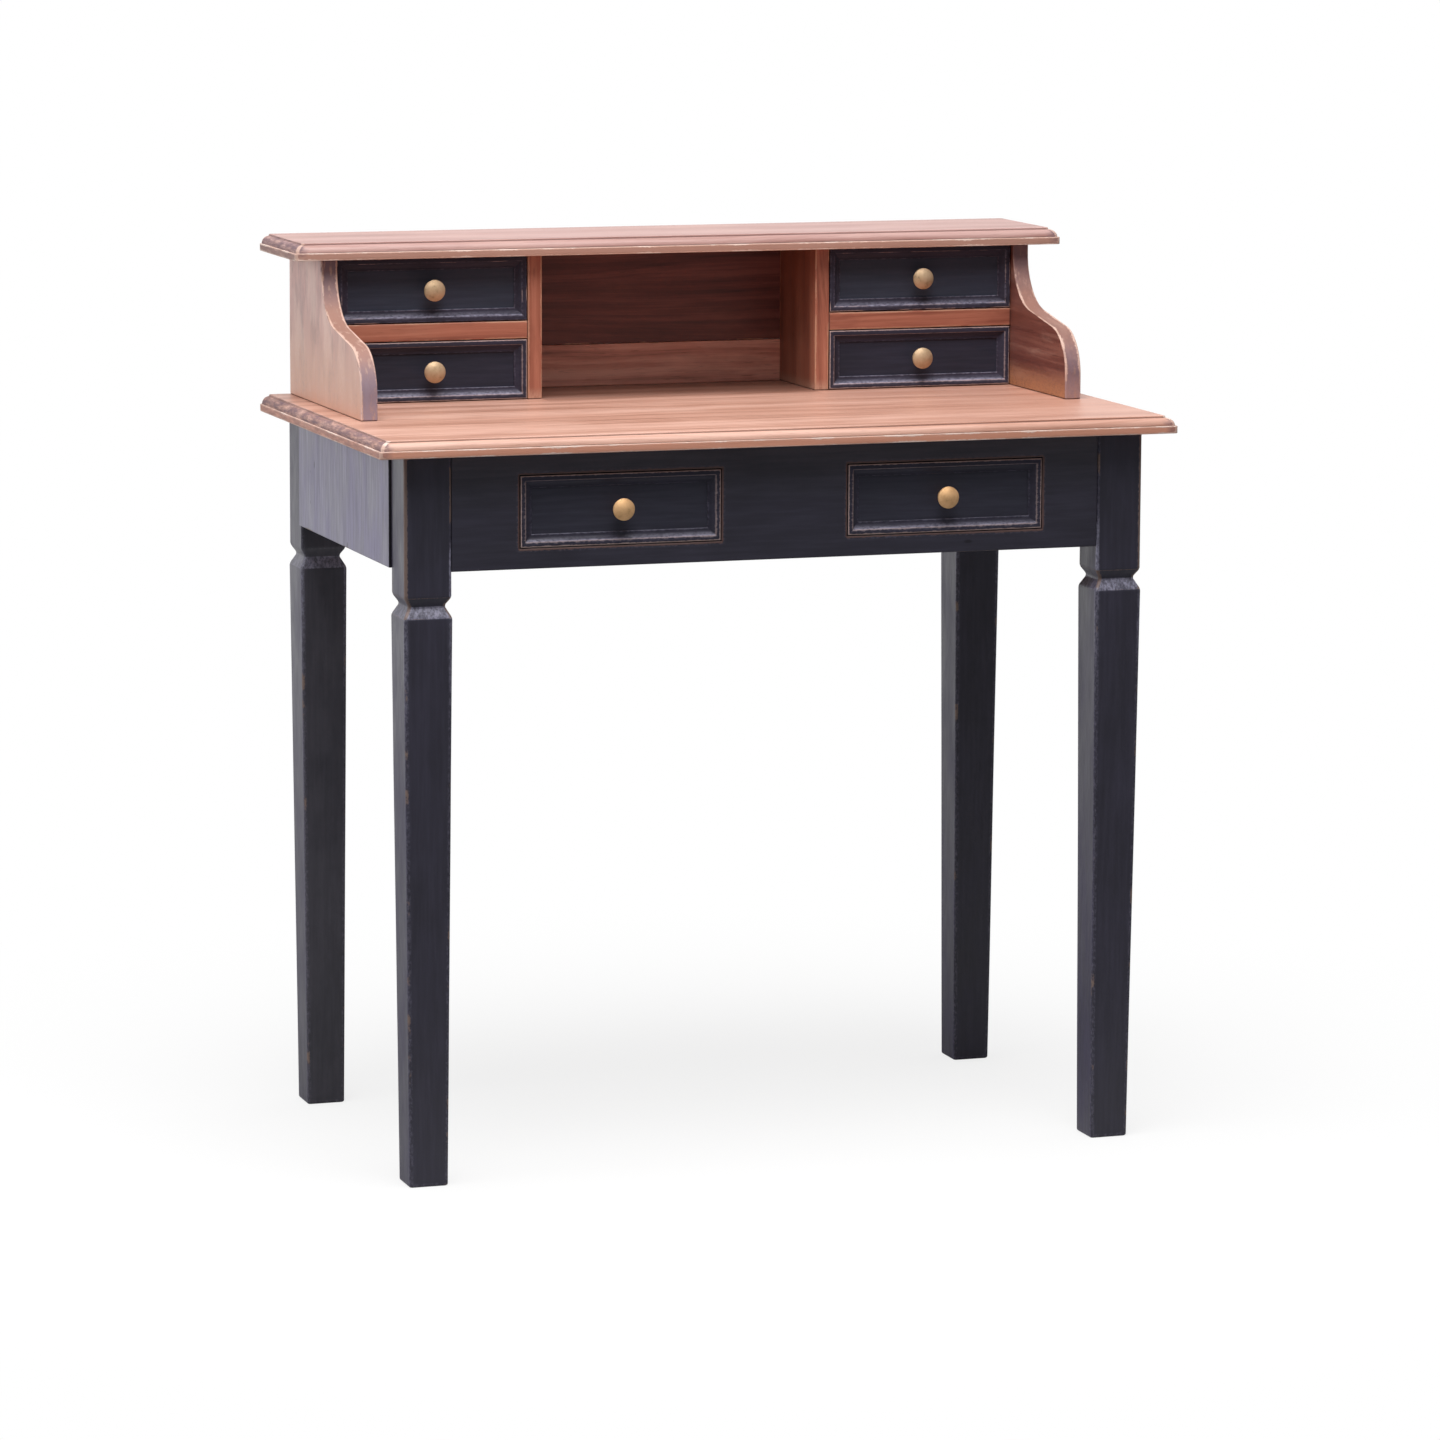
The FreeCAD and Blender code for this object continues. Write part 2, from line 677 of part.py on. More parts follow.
for side, side_name in ((-1, "left"), (1, "right")):
    hutch_side(f"hutch_{side_name}_side", side)
    divider(f"hutch_{side_name}_divider", side)
    shelf(f"hutch_{side_name}_shelf", side)
back_board("hutch_back_lower", "desk_height", "desk_height + back_seam_rise")
back_board("hutch_back_upper", "desk_height + back_seam_rise + back_seam_gap", "hutch_high_z")
foot_dowels = [dowel(x, y, "desk_height - dowel_in_top", "desk_height + dowel_in_upright")
               for x, y in dowel_places()]
head_dowels = [dowel(x, y, "hutch_high_z - dowel_in_upright", "hutch_high_z + dowel_in_top")
               for x, y in dowel_places()]
group("hutch_dowels", foot_dowels + head_dowels)


# Drawers: a panel with a mitred moulding frame and a knob in front, a box of two sides, a back
# and a bottom behind it.

def moulding_profile():
    """Section of the frame: distance in from the outer edge, height above the panel."""
    width = value("moulding_width")
    thick = value("moulding_thick")
    flat = value("moulding_flat")
    bevel = value("moulding_bevel")
    lip = value("moulding_lip")
    return [(0, 0), (0, thick), (flat, thick), (flat + bevel, thick - bevel),
            (width - bevel, lip), (width, lip), (width, 0)]


def mitred_strip(start, end, inward):
    """One strip of the frame from corner to corner, cut at 45 degrees at both ends."""
    along = (end - start).normalize()
    out = FreeCAD.Vector(0, -1, 0)
    wires = []
    for corner, way in ((start, 1), (end, -1)):
        points = [corner + along * (way * across) + inward * across + out * height
                  for across, height in moulding_profile()]
        wires.append(Part.makePolygon(points + points[:1]))
    return Part.makeLoft(wires, True, True)


def drawer_moulding(label, low_x, high_x, low_z, high_z, panel_y):
    """Frame of four strips on the front of a panel."""
    width = value(high_x) - value(low_x)
    height = value(high_z) - value(low_z)
    corners = [FreeCAD.Vector(x, 0, z) for x, z in ((0, 0), (width, 0), (width, height), (0, height))]
    inward = [FreeCAD.Vector(x, 0, z) for x, z in ((0, 1), (-1, 0), (0, -1), (1, 0))]
    strips = [mitred_strip(corners[index], corners[(index + 1) % 4], inward[index])
              for index in range(4)]
    frame = doc.addObject("Part::Feature", label)
    frame.Label = label
    frame.Shape = Part.makeCompound(strips)
    place(frame, (low_x, panel_y, low_z))
    pieces.append(frame)


def drawer_front(label, low, high, sides_x, bottom_z, knob_x, knob_z):
    """Panel with a rabbet for each side, a groove for the bottom and a hole for the knob's stud."""
    body = new_body(label)
    box(body, "Additive", low, high)
    left_in, right_in = sides_x
    rabbet_y = f"{high[1]} - panel_rabbet"
    beyond_y = f"{high[1]} + {PAST}"
    box(body, "Subtractive", (f"{low[0]} - {PAST}", rabbet_y, f"{low[2]} - {PAST}"),
        (left_in, beyond_y, f"{high[2]} + {PAST}"))
    box(body, "Subtractive", (right_in, rabbet_y, f"{low[2]} - {PAST}"),
        (f"{high[0]} + {PAST}", beyond_y, f"{high[2]} + {PAST}"))
    box(body, "Subtractive",
        (f"{left_in} - {PAST}", f"{high[1]} - bottom_groove - bottom_gap", f"{bottom_z} - bottom_gap"),
        (f"{right_in} + {PAST}", beyond_y, f"{bottom_z} + bottom_thick + bottom_gap"))
    hole = cut_round(body, "stud_radius + stud_gap", (knob_x, high[1], knob_z), "panel_thick")
    hole.Placement.Rotation = FreeCAD.Rotation(FreeCAD.Vector(1, 0, 0), 90)
    pieces.append(body)


def box_side(low, high, inner_x, way, bottom_z):
    """Side of a drawer box. way points from its inner face into the board."""
    body = new_body("drawer_side")
    box(body, "Additive", low, high)
    near = f"{inner_x} - ({way}) * {PAST}"
    far = f"{inner_x} + ({way}) * (bottom_groove + bottom_gap)"
    low_x, high_x = (near, far) if way > 0 else (far, near)
    box(body, "Subtractive", (low_x, f"{low[1]} - {PAST}", f"{bottom_z} - bottom_gap"),
        (high_x, f"{high[1]} + {PAST}", f"{bottom_z} + bottom_thick + bottom_gap"))
    return body


def plain_board(label, low, high):
    """Board with no cuts."""
    body = new_body(label)
    box(body, "Additive", low, high)
    pieces.append(body)


def knob(label, x, panel_y, z):
    """Turned knob: foot, neck, flared underside, rim and dome, with a stud into the panel."""
    body = new_body(label)
    rim_y = "-(knob_reach - knob_dome - knob_rim)"
    dome_y = "-(knob_reach - knob_dome)"
    corners = [
        ("0", "panel_thick - stud_short"),
        ("0", "-(knob_reach)", "(knob_radius ^ 2 + knob_dome ^ 2) / (2 * knob_dome)", "left"),
        ("knob_radius", dome_y),
        ("knob_radius", rim_y),
        ("knob_neck_radius", f"{rim_y} + knob_flare"),
        ("knob_neck_radius", "-(knob_foot_thick)"),
        ("knob_foot_radius", "-(knob_foot_thick)"),
        ("knob_foot_radius", "0"),
        ("stud_radius", "0"),
        ("stud_radius", "panel_thick - stud_short"),
    ]
    sketch = outline(body, "XY_Plane", "turning", corners)
    turning = body.newObject("PartDesign::Revolution", "turned")
    turning.Profile = sketch
    turning.ReferenceAxis = (sketch, ["V_Axis"])
    turning.Angle = 360
    place(body, (x, panel_y, z))
    pieces.append(body)


def drawer(name, low_x, high_x, low_z, high_z, face_y, stop_y):
    """All pieces of a drawer for the opening between these planes, shut against stop_y."""
    panel_y = f"{face_y} + moulding_thick"
    panel_back_y = f"{panel_y} + panel_thick"
    front_low = (f"{low_x} + drawer_reveal", panel_y, f"{low_z} + drawer_reveal")
    front_high = (f"{high_x} - drawer_reveal", panel_back_y, f"{high_z} - drawer_reveal")
    left_out = f"{low_x} + drawer_side_gap"
    right_out = f"{high_x} - drawer_side_gap"
    left_in = f"{left_out} + box_thick"
    right_in = f"{right_out} - box_thick"
    box_low_z = f"{low_z} + drawer_slide_gap"
    box_high_z = f"{high_z} - drawer_head_gap"
    box_front_y = f"{panel_back_y} - panel_rabbet"
    box_back_y = f"{stop_y} - drawer_stop_gap"
    bottom_z = f"{box_low_z} + bottom_rise"
    middle_x = f"({low_x} + ({high_x})) / 2"
    middle_z = f"({low_z} + ({high_z})) / 2"
    drawer_front(f"{name}_front", front_low, front_high, (left_in, right_in), bottom_z,
                 middle_x, middle_z)
    drawer_moulding(f"{name}_moulding", front_low[0], front_high[0], front_low[2], front_high[2],
                    panel_y)
    group(f"{name}_sides", [
        box_side((left_out, box_front_y, box_low_z), (left_in, box_back_y, box_high_z),
                 left_in, -1, bottom_z),
        box_side((right_in, box_front_y, box_low_z), (right_out, box_back_y, box_high_z),
                 right_in, 1, bottom_z),
    ])
    plain_board(f"{name}_back",
                (left_in, f"{box_back_y} - box_thick", f"{bottom_z} + bottom_thick"),
                (right_in, box_back_y, box_high_z))
    plain_board(f"{name}_bottom",
                (f"{left_in} - bottom_groove", f"{panel_back_y} - bottom_groove", bottom_z),
                (f"{right_in} + bottom_groove", box_back_y, f"{bottom_z} + bottom_thick"))
    knob(f"{name}_knob", middle_x, panel_y, middle_z)


for side, side_name in ((-1, "left"), (1, "right")):
    centre = drawer_centre_x(side)
    drawer(f"desk_{side_name}_drawer", f"{centre} - desk_drawer_width / 2",
           f"{centre} + desk_drawer_width / 2", "desk_drawer_low_z", "desk_drawer_high_z",
           "front_apron_y", "back_apron_y")
    inner, outer = "divider_outer_x", "hutch_inner_x"
    low_x, high_x = (f"-({outer})", f"-({inner})") if side < 0 else (inner, outer)
    drawer(f"hutch_lower_{side_name}_drawer", low_x, high_x, "desk_height", "shelf_low_z",
           "hutch_face_y", "hutch_board_y")
    drawer(f"hutch_upper_{side_name}_drawer", low_x, high_x, "shelf_high_z", "hutch_high_z",
           "hutch_face_y", "hutch_board_y")


# Check every object, then write each sub-part to its own file.
doc.recompute()
for item in doc.Objects:
    if "Invalid" in item.State or "Error" in item.State:
        raise RuntimeError(f"{item.Label} failed: {item.State}")
for piece in pieces:
    if piece.Shape.isNull() or not piece.Shape.isValid() or piece.Shape.Volume <= 0:
        raise RuntimeError(f"{piece.Label} has no valid shape")
os.makedirs("parts", exist_ok=True)
for piece in pieces:
    piece.Shape.exportStep(f"parts/{piece.Label}.step")
print(f"{len(pieces)} sub-parts written")
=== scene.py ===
import math

import bmesh
import bpy
import numpy as np
from mathutils import Matrix, Vector


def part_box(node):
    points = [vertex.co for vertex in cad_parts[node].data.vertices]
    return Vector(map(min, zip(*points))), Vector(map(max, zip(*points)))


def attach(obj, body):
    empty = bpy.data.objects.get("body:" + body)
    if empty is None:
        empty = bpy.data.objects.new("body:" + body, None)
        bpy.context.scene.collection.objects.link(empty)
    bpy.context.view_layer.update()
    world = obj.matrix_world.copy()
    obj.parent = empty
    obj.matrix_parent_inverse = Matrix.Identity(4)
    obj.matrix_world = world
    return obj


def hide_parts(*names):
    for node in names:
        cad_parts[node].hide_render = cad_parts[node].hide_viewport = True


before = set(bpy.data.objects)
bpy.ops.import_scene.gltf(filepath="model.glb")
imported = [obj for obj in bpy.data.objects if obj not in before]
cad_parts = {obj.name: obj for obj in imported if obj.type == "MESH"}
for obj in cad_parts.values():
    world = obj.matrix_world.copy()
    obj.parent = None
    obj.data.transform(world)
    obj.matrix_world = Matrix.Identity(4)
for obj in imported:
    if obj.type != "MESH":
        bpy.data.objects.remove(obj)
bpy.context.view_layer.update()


# Legs. Four square hardwood posts with a V-shaped neck cut round them below the apron and a taper to
# the foot, mortised for the aprons. They are brushed with black paint, which handling has rubbed off
# the arrises and the feet.
LEGS = ("leg_front_left", "leg_front_right", "leg_back_left", "leg_back_right")
LEG_EASE = 0.0024
LEG_FOOT_HALF = 0.02075
LEG_SHOULDER_HALF = 0.02575
LEG_NECK_HALF = 0.0190
LEG_BLOCK_HALF = 0.0250
SHOULDER_Z = 0.595
NECK_Z = 0.607
BLOCK_Z = 0.616
KINK_ROUND = 0.0018
LEG_SPACING = 0.02
LEG_END_PLACES = 7
NECK_MARGIN = 0.004
NECK_SECTIONS = 44
HAND_PLANED = 0.0005
PLANE_WAVES = 6
PLANE_RATE = 22
HANDLED_WEAR = -0.25
LOW_WEAR = 0.14
BACK_WEAR = 0.2
KINK_WEAR = 2.5
JOINED_WEAR = 5.0
# Dust with a painted highlight: on the neck's upward slope (less on the side faces), along the lower
# arrises and at the inner corners of the front legs' blocks.
NECK_DUST_AND_HIGHLIGHT = 0.75
NECK_SIDE_DUST_AND_HIGHLIGHT = 0.35
ARRIS_DUST_AND_HIGHLIGHT = 0.45
ARRIS_WIDE = 0.0022
ARRIS_FADE = 0.13
CORNER_DUST_AND_HIGHLIGHT = 0.75
CORNER_REACH = 0.028
CORNER_SPARED = 0.5
# Share of a paler violet film on the legs' faces that look left and right: painted sheen.
SIDE_SHEEN = 0.32
PAINT_BLACK = (0.0290, 0.0275, 0.0380, 1)
PAINT_STREAK = (0.0380, 0.0360, 0.0490, 1)
PAINT_COAT = (PAINT_BLACK, PAINT_STREAK)
PAINT_HAZE = (0.078, 0.069, 0.140, 1)
# Tone of the painted sheen on faces that look left and right.
PAINTED_SHEEN = (0.062, 0.050, 0.134, 1)
PAINT_SCUFF = (0.165, 0.155, 0.215, 1)
PAINT_SPECK = (0.30, 0.27, 0.30, 1)
PAINT_DENT = (0.012, 0.011, 0.016, 1)
# Tone of dust with a painted highlight.
PAINT_DUST_AND_HIGHLIGHT = (0.36, 0.35, 0.46, 1)
# A paler paint tone that stands in for light: at the front apron's upper edge and over the back left leg.
PAINTED_LIGHT_TONE = (0.074, 0.070, 0.088, 1)
BARE_DARK = (0.105, 0.066, 0.055, 1)
BARE_PALE = (0.280, 0.195, 0.160, 1)
BARE_TONES = (BARE_DARK, BARE_PALE)
DENT_STRETCH = (0.4, 1, 1)

IN_MM = 1000
MERGE_GAP = 2e-6
SMOOTH_UNDER = math.radians(40)
ARC_STEPS = 4
NEAR = np.array([0, 0.0008, 0.002, 0.005, 0.012])


def rounded_rectangle(half_a, half_b, ease, steps=1):
    """Rings of points (a, b) round rectangles, with their distances from the rounded corners.

    half_a and half_b hold one half size per ring. Along a side the points crowd towards its ends at
    the distances in NEAR and are even between; round a corner they follow a quarter circle.
    """
    half_a = np.asarray(half_a, float)[:, None]
    half_b = np.asarray(half_b, float)[:, None]
    ease = np.minimum(ease, np.minimum(half_a, half_b))
    flat_a = half_a - ease
    flat_b = half_b - ease
    even = np.linspace(-1, 1, steps + 2)[1:-1]

    def side(flat):
        near = np.minimum(NEAR, 0.8 * flat)
        middle = even * (flat - near[:, -1:])
        places = np.hstack([near - flat, middle, (flat - near)[:, ::-1]])
        return places, flat - np.abs(places)

    along_a, from_a = side(flat_a)
    along_b, from_b = side(flat_b)
    turn = np.linspace(0, math.pi / 2, ARC_STEPS + 1)[1:-1]
    near_arc = ease * np.sin(turn)
    far_arc = ease * np.cos(turn)
    level_a = 0 * along_a
    level_b = 0 * along_b
    a = np.hstack([along_a, flat_a + near_arc, level_b + half_a, flat_a + far_arc,
                   -along_a, -flat_a - near_arc, level_b - half_a, -flat_a - far_arc])
    b = np.hstack([level_a - half_b, -flat_b - far_arc, along_b, flat_b + near_arc,
                   level_a + half_b, flat_b + far_arc, -along_b, -flat_b - near_arc])
    corner = 0 * near_arc + 0 * flat_a
    distance = np.hstack([from_a, corner, from_b, corner, from_a, corner, from_b, corner])
    return a, b, distance


def bar(along, half_a, half_b, ease, butted=False):
    """Points (a, b, c) over a bar with a rounded rectangle for a section, and distances from arrises.

    along holds the places of the sections on the c axis, half_a and half_b their half sizes. At both
    ends the section shrinks along a quarter circle, and the end closes down its middle line. The
    arrises of a butted end lie against another piece and don't count.
    """
    half_a = half_a + 0 * along
    half_b = half_b + 0 * along
    from_end = np.minimum(along - along[0], along[-1] - along)
    inset = ease - np.sqrt(ease ** 2 - np.clip(ease - from_end, 0, ease) ** 2)
    a, b, distance = rounded_rectangle(half_a - inset, half_b - inset, ease)
    if not butted:
        distance = np.minimum(distance, np.maximum(from_end - ease, 0)[:, None])
    points = np.stack([a, b, along[:, None] + 0 * a], axis=-1)
    short = np.minimum(half_a, half_b)[:, None]
    flat_a = half_a[:, None] - short
    flat_b = half_b[:, None] - short
    middle = points.copy()
    middle[..., 0] = np.clip(a, -flat_a, flat_a)
    middle[..., 1] = np.clip(b, -flat_b, flat_b)
    depth = short + 0 * distance
    rings = np.concatenate([middle[:1], points, middle[-1:]])
    return rings, np.concatenate([depth[:1], distance, depth[-1:]])


def places_along(length, ease, spacing):
    """Places from 0 to length: a quarter circle's at both ends, then NEAR's, then an even spacing."""
    bend = ease * (1 - np.cos(np.linspace(0, math.pi / 2, ARC_STEPS + 1)))
    near = np.concatenate([bend, ease + NEAR[1:]])
    near = near[near < 0.45 * length]
    count = max(2, int((length - 2 * near[-1]) / spacing) + 1)
    middle = np.linspace(near[-1], length - near[-1], count)
    return np.concatenate([near[:-1], middle, (length - near[:-1])[::-1]])


def hand_planed(points, amount, seed):
    """Points moved by the mean of a few slow plane waves of their place, at most by amount."""
    draw = np.random.default_rng(seed)
    waves = draw.normal(0, PLANE_RATE, (3, PLANE_WAVES))
    phases = draw.uniform(0, 2 * math.pi, PLANE_WAVES)
    ways = draw.uniform(-1, 1, (PLANE_WAVES, 3))
    return points + amount / PLANE_WAVES * np.sin(points @ waves + phases) @ ways


def skin(name, rings, marks, loop=False):
    """Closed mesh over rings[i, j], in which row i joins row i + 1 and column j joins column j + 1.

    The last column joins the first, and with loop the last row does too. marks are values that the
    points keep by name, such as arris, the distance in mm from the nearest edge.
    """
    rows, columns = rings.shape[:2]
    index = np.arange(rows * columns).reshape(rows, columns)
    if loop:
        index = np.vstack([index, index[:1]])
    right = np.roll(index, -1, axis=1)
    quads = np.stack([index[:-1], right[:-1], right[1:], index[1:]], axis=-1).reshape(-1, 4)
    return close_mesh(name, rings.reshape(-1, 3), quads, marks)


def placed(name, data):
    """A new object of the scene for a mesh, a lamp or a camera."""
    thing = bpy.data.objects.new(name, data)
    bpy.context.scene.collection.objects.link(thing)
    return thing


def close_mesh(name, points, faces, marks):
    """Object with these points, faces and marks, doubles merged and faces turned outwards."""
    mesh = bpy.data.meshes.new(name)
    mesh.from_pydata(points.tolist(), [], faces.tolist())
    for title, amounts in marks.items():
        layer = mesh.attributes.new(title, "FLOAT", "POINT")
        layer.data.foreach_set("value", np.ravel(amounts).astype(np.float32))
    shape = bmesh.new()
    shape.from_mesh(mesh)
    bmesh.ops.remove_doubles(shape, verts=shape.verts, dist=MERGE_GAP)
    bmesh.ops.dissolve_degenerate(shape, edges=shape.edges, dist=1e-7)
    bmesh.ops.recalc_face_normals(shape, faces=shape.faces)
    shape.to_mesh(mesh)
    shape.free()
    mesh.polygons.foreach_set("use_smooth", np.ones(len(mesh.polygons), bool))
    mesh.set_sharp_from_angle(angle=SMOOTH_UNDER)
    return placed(name, mesh)


def add(tree, kind, inputs=None, **settings):
    """A shader node with properties set, and its inputs linked to sockets or set to values."""
    item = tree.nodes.new("ShaderNode" + kind)
    for name, setting in settings.items():
        setattr(item, name, setting)
    for key, source in (inputs or {}).items():
        if isinstance(source, bpy.types.NodeSocket):
            tree.links.new(source, item.inputs[key])
        else:
            item.inputs[key].default_value = source
    return item


def calc(tree, operation, *terms):
    """The result of a Math node."""
    return add(tree, "Math", dict(enumerate(terms)), operation=operation).outputs[0]


def times(tree, first, second):
    """Two values multiplied."""
    return calc(tree, "MULTIPLY", first, second)


def vector_calc(tree, operation, first, second):
    """The result of a Vector Math node."""
    return add(tree, "VectorMath", {0: first, 1: second}, operation=operation).outputs[0]


def remap(tree, source, low, high, to_low=0.0, to_high=1.0):
    """A value eased from the range low to high into another range, and held at its ends."""
    inputs = {"Value": source, "From Min": low, "From Max": high, "To Min": to_low, "To Max": to_high}
    return add(tree, "MapRange", inputs, interpolation_type="SMOOTHSTEP").outputs["Result"]


def mix(tree, share, first, second, blend="MIX"):
    """Two colours mixed by a share."""
    inputs = {0: share, 6: first, 7: second}
    return add(tree, "Mix", inputs, data_type="RGBA", blend_type=blend).outputs[2]


def stretched_noise(tree, vector, scale, detail=3.0, roughness=0.55):
    """Noise of a vector whose axes are first scaled apart."""
    spread = vector_calc(tree, "MULTIPLY", vector, scale)
    inputs = {"Vector": spread, "Scale": 1.0, "Detail": detail, "Roughness": roughness}
    return add(tree, "TexNoise", inputs).outputs["Fac"]


def new_group(name, inputs, outputs):
    """An empty node group, with the sockets of its two end nodes.

    An input has a start value, or None where it is a vector.
    """
    tree = bpy.data.node_groups.new(name, "ShaderNodeTree")
    for title, start in inputs.items():
        kind = "NodeSocketVector" if start is None else "NodeSocketFloat"
        socket = tree.interface.new_socket(title, in_out="INPUT", socket_type=kind)
        if start is not None:
            socket.default_value = start
    for title in outputs:
        tree.interface.new_socket(title, in_out="OUTPUT", socket_type="NodeSocketFloat")
    return tree, tree.nodes.new("NodeGroupInput").outputs, tree.nodes.new("NodeGroupOutput").inputs


def put_out(tree, made, **results):
    """A node group with its results linked to its output sockets."""
    for title, source in results.items():
        tree.links.new(source, made[title])
    return tree


def place_group(tree, group, inputs):
    """The outputs of a node group placed in a material."""
    return add(tree, "Group", inputs, node_tree=group).outputs


# Rubbed edges: bare where the distance from an arris is under a reach that varies in patches. A low
# bias wears an arris all along, a high one only here and there. Scuffs are a wider, broken margin.
edge_inputs = {"Vector": None, "Distance": 9.0, "Reach": 1.0, "Bias": 0.35}
tree, given, made = new_group("rubbed_edges", edge_inputs, ["Bare", "Scuff", "Patch"])
patches = stretched_noise(tree, given["Vector"], (26, 26, 26), 3)
nicks = stretched_noise(tree, given["Vector"], (240, 420, 420), 3, 0.7)
worn = remap(tree, patches, given["Bias"], calc(tree, "ADD", given["Bias"], 0.28))
amount = times(tree, worn, remap(tree, nicks, 0.3, 0.75, 0.25, 1.6))
reach = times(tree, given["Reach"], amount)
outer = calc(tree, "MULTIPLY_ADD", reach, 1.3, 0.03)
close = remap(tree, given["Distance"], times(tree, reach, 0.4), outer, 1.0, 0.0)
bare = times(tree, close, remap(tree, amount, 0.03, 0.25))
margin = times(tree, given["Reach"], 3.0)
near_edge = remap(tree, given["Distance"], 0.0, margin, 1.0, 0.0)
scuff = times(tree, near_edge, remap(tree, nicks, 0.4, 0.72))
rubbed_edges = put_out(tree, made, Bare=bare, Scuff=scuff, Patch=nicks)

# Brush marks: fine ridges that a brush leaves along the length of a piece, slow clouds of dulling, and
# the shallow waves of the wood under the paint.
tree, given, made = new_group("brush_marks", {"Vector": None}, ["Ridges", "Cloud", "Dents"])
ridges = stretched_noise(tree, given["Vector"], (14, 250, 250), 4, 0.6)
cloud = stretched_noise(tree, given["Vector"], (11, 22, 22), 4, 0.6)
waves = stretched_noise(tree, given["Vector"], (16, 42, 42), 3, 0.5)
brush_marks = put_out(tree, made, Ridges=ridges, Cloud=cloud, Dents=waves)

# Flecks: small round spots, one in some of the cells of a scattered pattern.
fleck_inputs = {"Vector": None, "Cells": 40.0, "Share": 0.2, "Size": 0.05}
tree, given, made = new_group("flecks", fleck_inputs, ["Fleck"])
cells = add(tree, "TexVoronoi", {"Vector": given["Vector"], "Scale": given["Cells"]})
drawn = add(tree, "SeparateColor", {0: cells.outputs["Color"]}).outputs
size = times(tree, given["Size"], remap(tree, drawn[1], 0.0, 1.0, 0.35, 1.0))
spot = remap(tree, cells.outputs["Distance"], times(tree, size, 0.6), size, 1.0, 0.0)
chosen = calc(tree, "LESS_THAN", drawn[0], given["Share"])
flecks = put_out(tree, made, Fleck=times(tree, spot, chosen))

# Board grain, for a vector whose X axis runs along the grain: broad bands, fine streaks and pores.
grain_inputs = {"Vector": None, "Rings": 16.0, "Waver": 0.02}
tree, given, made = new_group("board_grain", grain_inputs, ["Band", "Streak", "Pore"])
drift = stretched_noise(tree, given["Vector"], (1.6, 8, 8), 2)
sway = times(tree, calc(tree, "SUBTRACT", drift, 0.5), given["Waver"])
sway = add(tree, "CombineXYZ", {1: sway, 2: sway}).outputs[0]
bent = vector_calc(tree, "ADD", given["Vector"], sway)
ring_inputs = {"Vector": bent, "Scale": given["Rings"], "Distortion": 1.5,
               "Detail": 2.0, "Detail Scale": 1.2}
growth = add(tree, "TexWave", ring_inputs, wave_type="RINGS", rings_direction="X").outputs["Fac"]
broad = stretched_noise(tree, bent, (3.0, 48, 48), 4, 0.6)
band = calc(tree, "MULTIPLY_ADD", growth, 0.3, times(tree, broad, 0.7))
streak = stretched_noise(tree, bent, (3.2, 170, 170), 5, 0.66)
pore = remap(tree, stretched_noise(tree, bent, (38, 900, 900), 2), 0.6, 0.72)
board_grain = put_out(tree, made, Band=band, Streak=streak, Pore=pore)

# Turns that bring the length of a piece onto the X axis of its grain.
GRAIN_TURN = {"x": (0, 0, 0), "y": (0, 0, -math.pi / 2), "z": (0, math.pi / 2, 0)}


def new_finish(name, along, shift=(0, 0, 0)):
    """A material with its tree, Principled node and object coordinates turned along a grain."""
    finish = bpy.data.materials.new(name)
    finish.use_nodes = True
    tree = finish.node_tree
    surface = tree.nodes["Principled BSDF"]
    place = add(tree, "TexCoord").outputs["Object"]
    turned = add(tree, "Mapping", {"Vector": place, "Rotation": GRAIN_TURN[along]}).outputs[0]
    return finish, tree, surface, vector_calc(tree, "ADD", turned, shift)


def cover(tree, surface, colour, rough, relief, strength, depth):
    """Colour, roughness and relief linked to a material's Principled node."""
    tree.links.new(colour, surface.inputs["Base Color"])
    tree.links.new(rough, surface.inputs["Roughness"])
    bump = add(tree, "Bump", {"Strength": strength, "Distance": depth, "Height": relief})
    tree.links.new(bump.outputs[0], surface.inputs["Normal"])


def kept_mark(tree, title):
    """The value that the points of a piece keep under this title."""
    return add(tree, "Attribute", attribute_name=title).outputs["Fac"]


